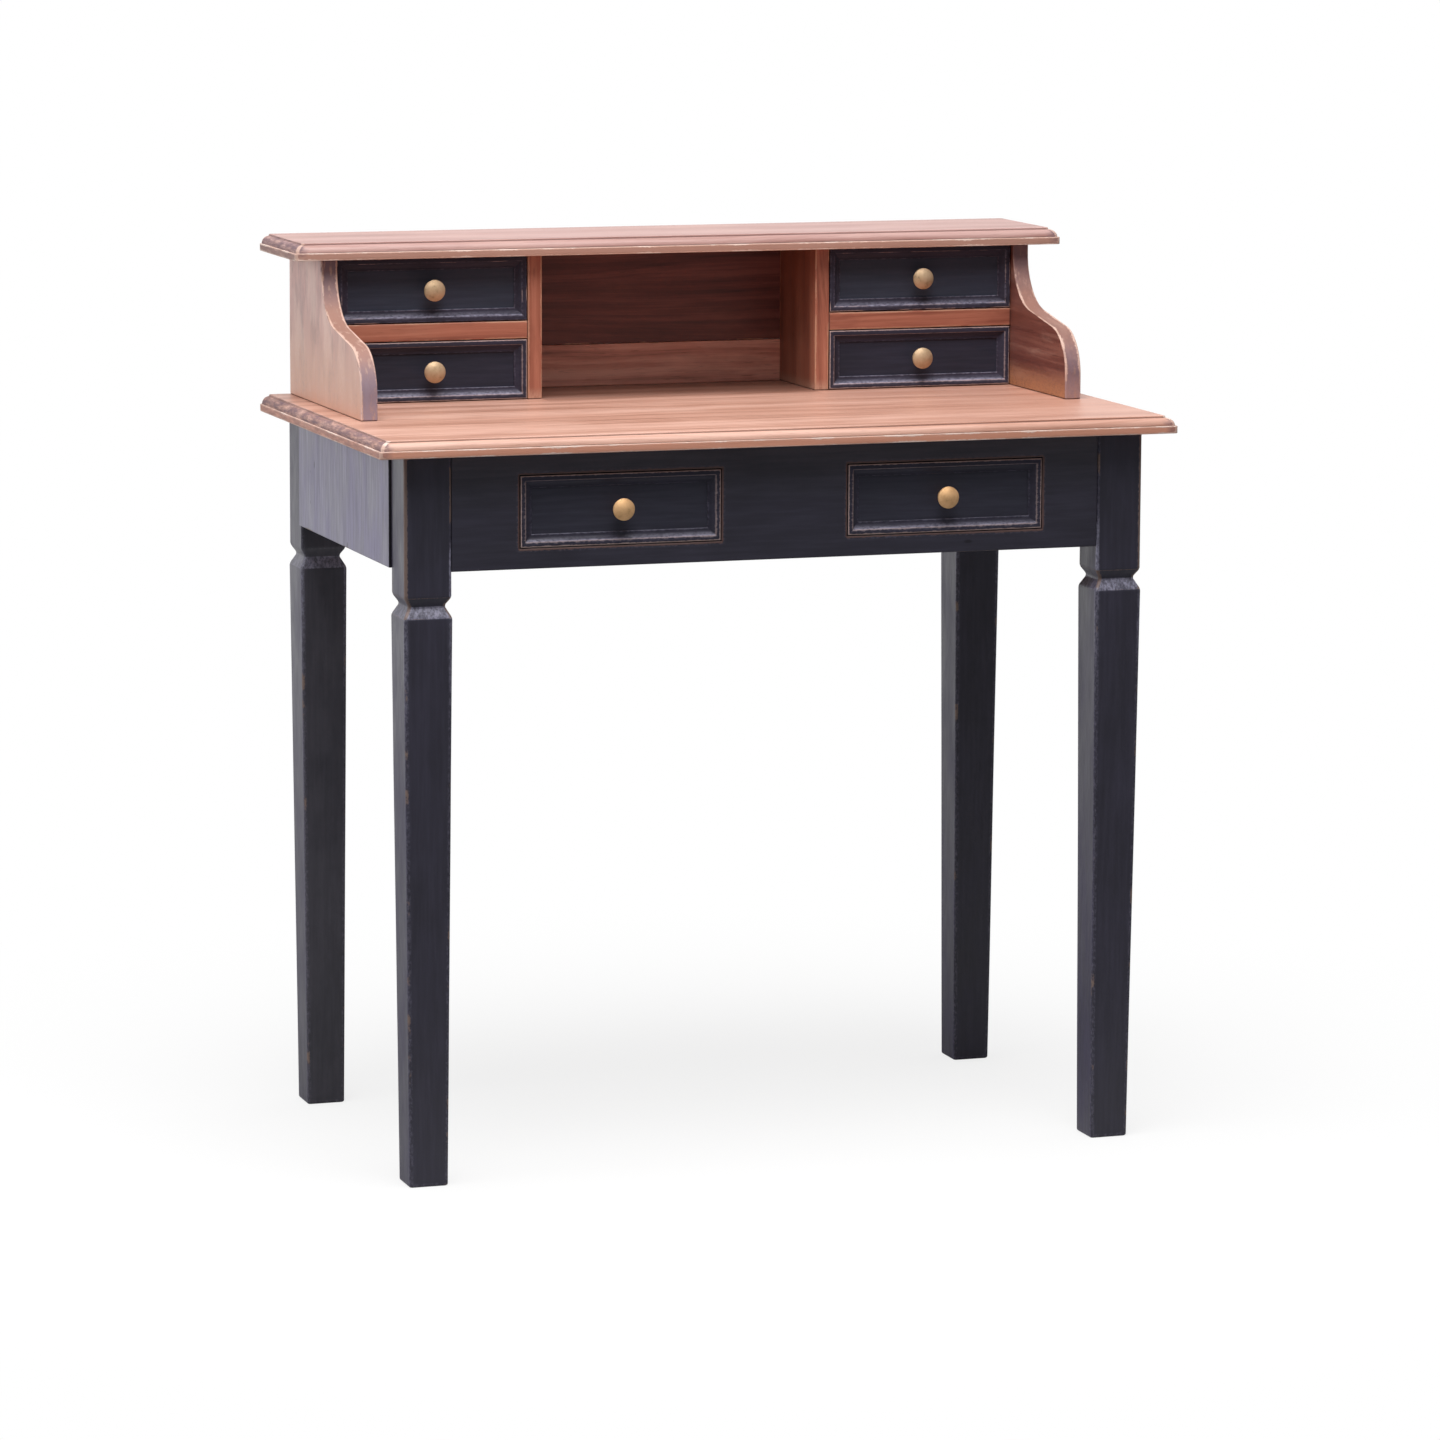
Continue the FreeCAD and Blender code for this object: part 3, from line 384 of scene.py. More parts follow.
def worn_paint(name, along, reach, bias, dulling, haze=PAINT_HAZE, scuffs=0.5, tones=BARE_TONES,
               framed=False, coat=PAINT_COAT, painted_light_film=PAINTED_SHEEN, dents=0.08, shine=0.40):
    """Black paint brushed along a piece, dulled in clouds, scuffed and rubbed to bare wood at arrises.

    The mark spared makes an arris less worn, or more where it is under 0. Where a piece keeps those
    marks, a paler film lies on it as painted light (a painted sheen on faces that look left and right,
    painted light under the desk top's overhang on the front apron, and on the side aprons also faded
    paint), dust with a painted highlight lies on it, and dark dirt sits in a joint. On a framed piece
    only the outside arris is rubbed to the wood.
    """
    finish, tree, surface, place = new_finish(name, along)
    surface.inputs["Specular IOR Level"].default_value = shine
    patchy = calc(tree, "ADD", kept_mark(tree, "spared"), bias)
    edge_inputs = {"Vector": place, "Distance": kept_mark(tree, "arris"), "Reach": reach, "Bias": patchy}
    edge = place_group(tree, rubbed_edges, edge_inputs)
    marks = place_group(tree, brush_marks, {"Vector": place})
    speckled = {"Vector": place, "Cells": 45.0, "Share": 0.22 if framed else 0.10, "Size": 0.040}
    fleck = place_group(tree, flecks, speckled)["Fleck"]
    drawn_out = vector_calc(tree, "MULTIPLY", place, DENT_STRETCH)
    dent_inputs = {"Vector": drawn_out, "Cells": 36.0, "Share": dents, "Size": 0.105}
    dent = place_group(tree, flecks, dent_inputs)["Fleck"]
    grain = place_group(tree, board_grain, {"Vector": place, "Rings": 20.0, "Waver": 0.02})
    paint = mix(tree, remap(tree, marks["Ridges"], 0.35, 0.75), *coat)
    clouded = remap(tree, marks["Cloud"], 0.32, 0.68, 0.4 * dulling, dulling)
    dulled = times(tree, clouded, remap(tree, marks["Ridges"], 0.3, 0.7, 0.8, 1.12))
    paint = mix(tree, dulled, paint, haze)
    streaked = remap(tree, marks["Ridges"], 0.32, 0.66, 0.62, 1.02)
    clouded = times(tree, streaked, remap(tree, marks["Cloud"], 0.34, 0.66, 0.72, 1.05))
    # Paler film where the piece keeps that mark: painted light.
    paint = mix(tree, times(tree, kept_mark(tree, "painted_light_film"), clouded), paint, painted_light_film)
    paint = mix(tree, times(tree, dent, 0.8), paint, PAINT_DENT)
    paint = mix(tree, times(tree, edge["Scuff"], scuffs), paint, PAINT_SCUFF)
    paint = mix(tree, times(tree, fleck, 0.6), paint, PAINT_SPECK)
    streaky = remap(tree, marks["Ridges"], 0.32, 0.6, 0.3, 1.0)
    broken = times(tree, streaky, remap(tree, edge["Patch"], 0.35, 0.6, 0.35, 1.0))
    # Dust with a painted highlight where the piece keeps that mark.
    paint = mix(tree, times(tree, kept_mark(tree, "dust_and_highlight"), broken), paint, PAINT_DUST_AND_HIGHLIGHT)
    ragged = remap(tree, edge["Patch"], 0.3, 0.6, 0.35, 1.4)
    soiled = remap(tree, times(tree, kept_mark(tree, "joint"), ragged), 0.15, 0.6, 0.0, 0.85)
    paint = mix(tree, soiled, paint, PAINT_DENT)
    wood = mix(tree, grain["Streak"], *tones)
    bare = times(tree, edge["Bare"], 0.85)
    if framed:
        bare = times(tree, bare, kept_mark(tree, "outside"))
    gloss = remap(tree, marks["Cloud"], 0.3, 0.75, 0.30, 0.46)
    rough = calc(tree, "MULTIPLY_ADD", bare, 0.2, gloss)
    rubbed = calc(tree, "MULTIPLY_ADD", bare, -0.06, times(tree, marks["Ridges"], 0.02))
    relief = calc(tree, "ADD", rubbed, marks["Dents"])
    cover(tree, surface, mix(tree, bare, paint, wood), rough, relief, 1.0, 0.001)
    return finish


leg_paint = worn_paint("leg_paint", "z", 0.9, 0.42, 0.16)
leg_paints = {node: leg_paint for node in LEGS}
# The back left leg takes a paler copy of the paint: painted light.
leg_paints["leg_back_left"] = worn_paint("painted_light_leg_paint", "z", 0.9, 0.42, 0.8, haze=PAINTED_LIGHT_TONE)


def leg_rings(foot, top):
    """Sections up a leg: a taper, the two slopes of the neck and the block, with the kinks rounded.

    The half size at a height is the mean of the straight-line profile just below, at and just above it.
    """
    heights = np.concatenate([
        places_along(SHOULDER_Z - foot, LEG_EASE, LEG_SPACING)[:-LEG_END_PLACES] + foot,
        np.linspace(SHOULDER_Z - NECK_MARGIN, BLOCK_Z + NECK_MARGIN, NECK_SECTIONS),
        places_along(top - BLOCK_Z, LEG_EASE, LEG_SPACING)[LEG_END_PLACES:] + BLOCK_Z,
    ])
    kinks = (foot, SHOULDER_Z, NECK_Z, BLOCK_Z, top)
    halves = (LEG_FOOT_HALF, LEG_SHOULDER_HALF, LEG_NECK_HALF, LEG_BLOCK_HALF, LEG_BLOCK_HALF)
    half = sum(np.interp(heights + step, kinks, halves) for step in (-KINK_ROUND, 0, KINK_ROUND)) / 3
    rings, arris = bar(heights, half, half, LEG_EASE)
    to_kink = np.abs(rings[..., 2, None] - np.array((SHOULDER_Z, BLOCK_Z))).min(axis=-1)
    return rings, np.minimum(arris, KINK_WEAR * to_kink)


def fit(piece, body, node, slot, *finishes):
    """A piece given its finishes, the body it moves with and the node it stands for; slot is not used."""
    for finish in finishes:
        piece.data.materials.append(finish)
    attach(piece, body)
    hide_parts(node)


apron_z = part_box("left_apron")[0].z
for seed, node in enumerate(LEGS):
    low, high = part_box(node)
    middle = np.array([(low.x + high.x) / 2, (low.y + high.y) / 2, 0])
    rings, arris = leg_rings(low.z, high.z)
    x, y, z = np.moveaxis(rings, -1, 0)
    outward = (x * middle[0] > 0) & (y * middle[1] > 0)
    joined = (z > apron_z) & ~outward
    arris = np.where(joined, JOINED_WEAR * arris, arris)
    handled = (z > NECK_Z) & (outward | (z < apron_z))
    spared = np.where(handled, HANDLED_WEAR, 0)
    if middle[1] > 0:
        spared = 0 * arris + BACK_WEAR
    spared = np.where(z < SHOULDER_Z, LOW_WEAR, spared)
    sideways = np.abs(x) > np.abs(y)
    # Dust with painted highlights on the neck's upward slope, along the lower arrises and at the inner
    # corner of the front blocks.
    on_slope = (z > SHOULDER_Z) & (z < NECK_Z)
    dust_and_highlight = np.where(sideways, NECK_SIDE_DUST_AND_HIGHLIGHT, NECK_DUST_AND_HIGHLIGHT) * on_slope
    at_arris = np.clip(1 - arris / ARRIS_WIDE, 0, 1) * (z < SHOULDER_Z)
    fading = np.clip(1 - (SHOULDER_Z - z) / ARRIS_FADE, 0, 1)
    dust_and_highlight = np.maximum(dust_and_highlight, ARRIS_DUST_AND_HIGHLIGHT * at_arris * fading)
    if middle[1] < 0:
        inner = (x * middle[0] < 0) & (y < 0) & (z > BLOCK_Z)
        low_down = inner & (z < apron_z + CORNER_REACH)
        corner = np.abs(np.abs(x) - np.abs(y)) < LEG_EASE
        dust_and_highlight = np.maximum(dust_and_highlight, CORNER_DUST_AND_HIGHLIGHT * (low_down & corner))
        spared = np.where(low_down, CORNER_SPARED, spared)
    # The faces that look left and right take the paler film: painted sheen.
    painted_light_film = SIDE_SHEEN * sideways
    rings = np.clip(hand_planed(rings + middle, HAND_PLANED, seed), low, high)
    marks = {"arris": IN_MM * arris, "spared": spared, "dust_and_highlight": dust_and_highlight, "painted_light_film": painted_light_film}
    piece = skin("painted_" + node, rings, marks)
    fit(piece, "carcass", node, "black_paint", leg_paints[node])


# Aprons. Four boards on edge, tenoned into the legs and painted as these are. The front one is flush
# and has two openings cut through it for the drawers, with edges rubbed to the wood; its paint is made
# paler towards the upper edge as painted light, where the desk top's overhang shades it. The side ones
# stand a little proud of the legs, and their paint is pale: faded, and lightened by a painted sheen.
APRON_EASE = 0.0012
SHOULDER_GAP = 0.0002
BOARD_SPACING = 0.04
PIERCED_SPACING = 0.02
DRAWER_REVEAL = 0.0012
OPENING_WALL = 0.006
JOINT_DIRT = 0.5
JOINT_WIDE = 0.0016
BOTTOM_WEAR = 5.0
# Reach and share of the front apron's paler top: painted light under the desk top's overhang.
LIT_TOP_REACH = 0.05
LIT_TOP_SHARE = 0.95
# Tone of the side aprons' pale paint: faded paint with a painted sheen.
APRON_FADE_AND_SHEEN = (0.252, 0.230, 0.362, 1)
OPENING_TONES = ((0.070, 0.034, 0.029, 1), (0.16, 0.090, 0.076, 1))
DESK_DRAWERS = ("desk_left_drawer", "desk_right_drawer")


def board(name, low, high, axis, ease, seed, butted=True):
    """A straight board between two corners, its length along an axis, with every arris eased.

    Its points keep their distances from the arrises and, as the crease, from the joints at its ends,
    as the joint how near these are, and as the film mark whether they lie on a face to the left or
    right, where the paint takes a paler film of painted sheen.
    """
    low = np.array(low)
    high = np.array(high)
    order = np.roll(np.arange(3), 2 - axis)
    half = (high - low)[order] / 2
    middle = (high + low)[order] / 2
    along = places_along(2 * half[2], ease, BOARD_SPACING) - half[2]
    rings, arris = bar(along, half[0], half[1], ease, butted)
    from_end = half[2] - np.abs(rings[..., 2])
    joint = np.clip(1 - from_end / JOINT_WIDE, 0, 1) * butted
    rings = np.roll(rings + middle, axis + 1, axis=-1)
    painted_light_film = np.minimum(rings - low, high - rings).argmin(axis=-1) == 0
    rings = np.clip(hand_planed(rings, HAND_PLANED, seed), low, high)
    marks = {"arris": IN_MM * arris, "crease": IN_MM * JOINT_DIRT * from_end, "joint": joint, "painted_light_film": painted_light_film}
    return skin(name, rings, marks)


def marks_between(edges, ease, spacing):
    """Places along a line that crowd on both sides of each edge and are even between."""
    spans = [start + places_along(end - start, ease, spacing) for start, end in zip(edges, edges[1:])]
    return np.unique(np.round(np.concatenate(spans), 7))


def pierced_board(name, low, high, openings, ease):
    """A board with its face on XZ and rectangular openings through it along Y.

    Front and back are height fields over a grid of x and z: flat, falling away by a quarter circle
    within ease of an edge. Cells in an opening are left out, and walls join front to back round the rest.
    The film mark grows towards the upper edge, where the paint is made paler as painted light: the
    desk top's overhang shades that part.
    """
    sides = [low.x, high.x] + [o[i] for o in openings for i in (0, 1)]
    levels = {low.z, high.z} | {o[i] for o in openings for i in (2, 3)}
    across = marks_between(sorted(sides), ease, PIERCED_SPACING)
    up = marks_between(sorted(levels), ease, PIERCED_SPACING)
    x, z = np.meshgrid(across, up, indexing="ij")
    edge = np.minimum(np.minimum(x - low.x, high.x - x), np.minimum(z - low.z, high.z - z))
    rubbed = BOTTOM_WEAR * (z - low.z) + ease
    kept = np.ones((len(across) - 1, len(up) - 1), bool)
    cell_x = (across[1:] + across[:-1]) / 2
    cell_z = (up[1:] + up[:-1]) / 2
    for left, right, foot, head in openings:
        beside = np.maximum(np.maximum(left - x, x - right), 0)
        above = np.maximum(np.maximum(foot - z, z - head), 0)
        edge = np.minimum(edge, np.hypot(beside, above))
        rubbed = np.minimum(rubbed, np.hypot(beside, above))
        kept &= ~np.outer((cell_x > left) & (cell_x < right), (cell_z > foot) & (cell_z < head))
    fall = ease - np.sqrt(ease ** 2 - np.clip(ease - edge, 0, ease) ** 2)
    away = np.maximum(rubbed - ease, 0)
    wall = 0 * x + OPENING_WALL
    layers = [(low.y + fall, away), (low.y + ease + wall, wall), (high.y - fall, away)]
    points = np.concatenate([np.stack([x, y, z], axis=-1).reshape(-1, 3) for y, _ in layers])
    arris = np.concatenate([distance.ravel() for _, distance in layers])
    front, wall, back = np.arange(len(points)).reshape(3, *x.shape)

    def cells(layer):
        return np.stack([layer[:-1, :-1], layer[1:, :-1], layer[1:, 1:], layer[:-1, 1:]], axis=-1)[kept]

    padded = np.pad(kept, 1)
    upright = padded[1:, 1:-1] != padded[:-1, 1:-1]
    level = padded[1:-1, 1:] != padded[1:-1, :-1]
    faces = [cells(front), cells(back)[:, ::-1]]
    for one, two in ((front, wall), (wall, back)):
        faces.append(np.stack([one[:, :-1], one[:, 1:], two[:, 1:], two[:, :-1]], axis=-1)[upright])
        faces.append(np.stack([one[:-1], one[1:], two[1:], two[:-1]], axis=-1)[level])
    used, faces = np.unique(np.concatenate(faces), return_inverse=True)
    painted_light_film = LIT_TOP_SHARE * np.clip(1 - (high.z - points[:, 2]) / LIT_TOP_REACH, 0, 1)
    marks = {"arris": IN_MM * arris[used], "painted_light_film": painted_light_film[used]}
    return close_mesh(name, points[used], faces.reshape(-1, 4), marks)


front_paint = worn_paint("front_apron_paint", "x", 1.2, 0.22, 0.12, tones=OPENING_TONES, painted_light_film=PAINTED_LIGHT_TONE)
side_paint = worn_paint("side_apron_paint", "z", 0.8, 0.5, 0.12, painted_light_film=APRON_FADE_AND_SHEEN, dents=0.9)


def shoulder_box(node, axis, left, right):
    """The part of an apron that shows between two legs, without its tenons."""
    low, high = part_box(node)
    near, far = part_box(left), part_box(right)
    low[axis] = (near[0][axis] + near[1][axis]) / 2 + LEG_BLOCK_HALF + SHOULDER_GAP
    high[axis] = (far[0][axis] + far[1][axis]) / 2 - LEG_BLOCK_HALF - SHOULDER_GAP
    return low, high


low, high = shoulder_box("front_apron", 0, "leg_front_left", "leg_front_right")
openings = []
for drawer in DESK_DRAWERS:
    front_low, front_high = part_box(drawer + "_front")
    openings.append((front_low.x - DRAWER_REVEAL, front_high.x + DRAWER_REVEAL,
                     front_low.z - DRAWER_REVEAL, front_high.z + DRAWER_REVEAL))
piece = pierced_board("painted_front_apron", low, high, openings, APRON_EASE)
fit(piece, "carcass", "front_apron", "black_paint", front_paint)
low, high = shoulder_box("back_apron", 0, "leg_back_left", "leg_back_right")
piece = board("painted_back_apron", low, high, 0, APRON_EASE, 11)
fit(piece, "carcass", "back_apron", "black_paint", front_paint)
for seed, hand in ((12, "left"), (13, "right")):
    low, high = shoulder_box(f"{hand}_apron", 1, f"leg_front_{hand}", f"leg_back_{hand}")
    piece = board(f"painted_{hand}_apron", low, high, 1, APRON_EASE, seed)
    fit(piece, "carcass", f"{hand}_apron", "black_paint", side_paint)


# Inner frame. Sawn softwood strips and blocks that nobody sees: corner braces, runners and kickers of
# the apron drawers and the dowels of the hutch, glued in place and left bare.
FRAME_PALE = (0.56, 0.38, 0.22, 1)
FRAME_DARK = (0.33, 0.19, 0.10, 1)
PORE_DEPTH = 0.0004
INNER_FRAME = {"corner_blocks": "x", "left_drawer_runners": "y", "right_drawer_runners": "y",
               "drawer_kickers": "y", "hutch_dowels": "z"}


def bare_wood(name, along, pale, dark, roughness, shift=(0, 0, 0)):
    """Unfinished wood: two tones by bands and streaks, with open pores and a dry surface."""
    finish, tree, surface, place = new_finish(name, along, shift)
    grain = place_group(tree, board_grain, {"Vector": place, "Rings": 14.0, "Waver": 0.03})
    tone = calc(tree, "MULTIPLY_ADD", grain["Band"], 0.55, times(tree, grain["Streak"], 0.45))
    wood = mix(tree, remap(tree, tone, 0.3, 0.7), dark, pale)
    wood = mix(tree, times(tree, grain["Pore"], 0.5), wood, dark)
    rough = remap(tree, grain["Streak"], 0.3, 0.7, roughness - 0.08, roughness + 0.1)
    relief = calc(tree, "SUBTRACT", grain["Streak"], grain["Pore"])
    cover(tree, surface, wood, rough, relief, 0.3, PORE_DEPTH)
    return finish


def refinish(node, finish):
    """A CAD node shown as it is, with another material."""
    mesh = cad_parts[node].data
    mesh.materials.clear()
    mesh.materials.append(finish)


sawn_wood = {along: bare_wood(f"sawn_wood_{along}", along, FRAME_PALE, FRAME_DARK, 0.75) for along in "xyz"}
for node, along in INNER_FRAME.items():
    refinish(node, sawn_wood[along])


# Screws. Countersunk steel wood screws that go up through the kickers and hold the desk top down.
# Plain zinc-coated steel, dulled a little.
SCREW_BRIGHT = (0.56, 0.56, 0.55, 1)
SCREW_DULL = (0.30, 0.29, 0.28, 1)
screw_steel, tree, surface, place = new_finish("screw_steel", "z")
dulling = stretched_noise(tree, place, (300, 300, 300), 4)
steel = mix(tree, remap(tree, dulling, 0.35, 0.7), SCREW_BRIGHT, SCREW_DULL)
tree.links.new(steel, surface.inputs["Base Color"])
tree.links.new(remap(tree, dulling, 0.3, 0.7, 0.28, 0.5), surface.inputs["Roughness"])
surface.inputs["Metallic"].default_value = 1.0
refinish("top_screws", screw_steel)


# Desk top and hutch top. Glued hardwood boards with a moulded edge worked along the front and both
# ends: a small step, a big quarter round and a square band below. Waxed, with pale rubbed edges and
# darker hollows, which carry wax dirt and painted shade.
EDGE_STEP = 0.002
EDGE_ROUND = 0.008
EDGE_LEDGE = 0.002
EDGE_EASE = 0.0008
CORNER_ROUND = 0.0025
ROUND_STEPS = 9
TOP_STEPS = 40
# Darkening in the moulding's two hollows: painted shade, with wax dirt.
HOLLOW_SHADE_AND_DIRT = (1.0, 0.9)
END_CLEAN = 1.5
END_DRY = 0.3
END_STREAKS = (60, 34, 210)
CUT_FADE = 0.075
BAND_SAWN = 0.6
# Tones of the two tops: the hutch top's are darker than the desk top's as painted shade, for it stands in
# more light.
TOP_TONES_LIT_AND_SHADED = {
    "desk_top": ((0.70, 0.415, 0.325, 1), (0.55, 0.288, 0.210, 1), (0.33, 0.148, 0.098, 1)),
    "hutch_top": ((0.51, 0.310, 0.280, 1), (0.43, 0.238, 0.210, 1), (0.25, 0.115, 0.090, 1)),
}
TOP_RUBBED = (0.70, 0.47, 0.38, 1)
BAND_TONES = {"desk_top": (0.74, 0.325, 0.215, 1), "hutch_top": (0.48, 0.265, 0.200, 1)}
CHIP_TONE = (0.82, 0.65, 0.57, 1)
CHIP_REACH = 2.5
DASH_STRETCH = (0.25, 1, 1)
BLOTCH_SHIFT = (1.7, 0.9, 1.3)
END_GRAIN = (0.175, 0.104, 0.118, 1)
# Painted shade on the niche's floor: where it starts and ends, its share, and below its tint.
NICHE_FLOOR_SHADE = (0.075, 0.135, 1.0)
NICHE_SHADE_TINT = (0.42, 0.36, 0.34, 1)
NICHE_BACK_MARGIN = 0.001
NICHE_FLOOR_MARGIN = 0.0005
# The desk top grows darker towards its right end: painted shade.
RIGHT_END_SHADE = {"desk_top": ((0.46, 0.205, 0.140, 1), 0.02, 0.40, 0.38), "hutch_top": None}
# Tone of dirt specks and of the darkening in joints and hollows, which in moulded hollows is painted shade.
WOOD_DIRT_AND_SHADE = (0.060, 0.026, 0.022, 1)
INNER_RINGS = (0.014, 0.030, 0.070)


def moulded_rows(thick):
    """Rows of the moulding from the top's middle to the underside's, as whole arrays.

    Each row has an inset from the moulded sides, an inset from the plain back, a drop from the top face,
    and its distances from the nearest arris and from the nearest hollow.
    """
    step_in = EDGE_LEDGE + EDGE_ROUND
    turn = np.linspace(0, math.pi / 2, ROUND_STEPS)[1:]
    small = np.linspace(0, math.pi / 2, 4)
    band = EDGE_STEP + EDGE_ROUND
    flat_in = step_in + np.array(INNER_RINGS[::-1])
    ease = EDGE_EASE
    inset = np.concatenate([
        flat_in, [step_in + 0.004, step_in + 0.0015], step_in + ease * (1 - np.sin(small)),
        [step_in, step_in - 0.0004], step_in - EDGE_ROUND * np.sin(turn), [EDGE_LEDGE - 0.0004],
        ease * (1 - np.sin(small)), [0, 0], ease * (1 - np.cos(small)), [0.004, 0.012, 0.07],
    ])
    drop = np.concatenate([
        0 * flat_in, [0, 0], ease * (1 - np.cos(small)),
        [EDGE_STEP - 0.0004, EDGE_STEP], band - EDGE_ROUND * np.cos(turn), [band],
        band + ease * (1 - np.cos(small)), [band + 0.002, band + 0.004],
        thick - ease * (1 - np.sin(small)), [thick, thick, thick],
    ])
    sharp = np.array([(0, band), (0, thick)])
    hollow = np.array([(step_in - 0.0002, EDGE_STEP), (EDGE_LEDGE - 0.0002, band)])
    section = np.stack([inset, drop], axis=-1)
    arris = np.linalg.norm(section[:, None] - sharp, axis=-1).min(axis=1)
    crease = (np.linalg.norm(section[:, None] - hollow, axis=-1) * np.array(HOLLOW_SHADE_AND_DIRT)).min(axis=1)
    at_back = np.where(drop < ease, ease - drop, np.where(drop > thick - ease, drop - thick + ease, 0))
    at_back = np.where(inset > step_in + 0.003, inset - step_in, at_back)
    at_back = np.where((drop > thick - ease / 2) & (inset > 0.003), inset, at_back)
    return inset, at_back, drop, np.maximum(arris - ease, 0), crease


def with_ends(rows):
    """An array with its first and its last row repeated."""
    return np.concatenate([rows[:1], rows, rows[-1:]])


def moulded_top(name, low, high, seed):
    """A board whose moulded rows are carried round its four sides, closed above and below on a line."""
    inset, at_back, drop, arris, crease = moulded_rows(high.z - low.z)
    half_x = (high.x - low.x) / 2 - inset
    half_y = (high.y - low.y - inset - at_back) / 2
    a, b, from_corner = rounded_rectangle(half_x, half_y, CORNER_ROUND, TOP_STEPS)
    middle_x = (low.x + high.x) / 2
    middle_y = (low.y + inset + high.y - at_back) / 2
    points = np.stack([a + middle_x, b + middle_y[:, None], high.z - drop[:, None] + 0 * a], axis=-1)
    arris = np.minimum(arris[:, None], np.where(drop[:, None] > 0, from_corner * 0.6, 1))
    to_end = high.x - middle_x - np.abs(a)
    sawn = np.clip((EDGE_LEDGE + EDGE_ROUND + 0.002 - to_end) / 0.003, 0, 1) * (drop[:, None] > 0)
    crease = crease[:, None] * (1 + END_CLEAN * sawn)
    ends = []
    for row in (0, -1):
        line = points[row].copy()
        reach = half_x[row] - half_y[row]
        line[:, 0] = np.clip(line[:, 0] - middle_x, -reach, reach) + middle_x
        line[:, 1] = middle_y[row]
        ends.append(line[None])
    rings = np.concatenate([ends[0], points, ends[1]])
    uneven = hand_planed(rings, 2 * HAND_PLANED, seed)
    rings[..., :2] = np.clip(uneven, low, high)[..., :2]
    under = np.clip((drop - EDGE_STEP - EDGE_ROUND) / EDGE_EASE, 0, 1)[:, None] + 0 * a
    sawn = sawn * (1 - (1 - BAND_SAWN) * under)
    marks = {"arris": IN_MM * arris, "crease": IN_MM * crease, "sawn": sawn, "under": under}
    return skin(name, rings, {title: with_ends(amounts) for title, amounts in marks.items()})


niche_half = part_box("hutch_right_divider")[0].x
niche_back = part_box("hutch_back_lower")[0].y + NICHE_BACK_MARGIN
niche_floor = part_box("desk_top")[1].z - NICHE_FLOOR_MARGIN


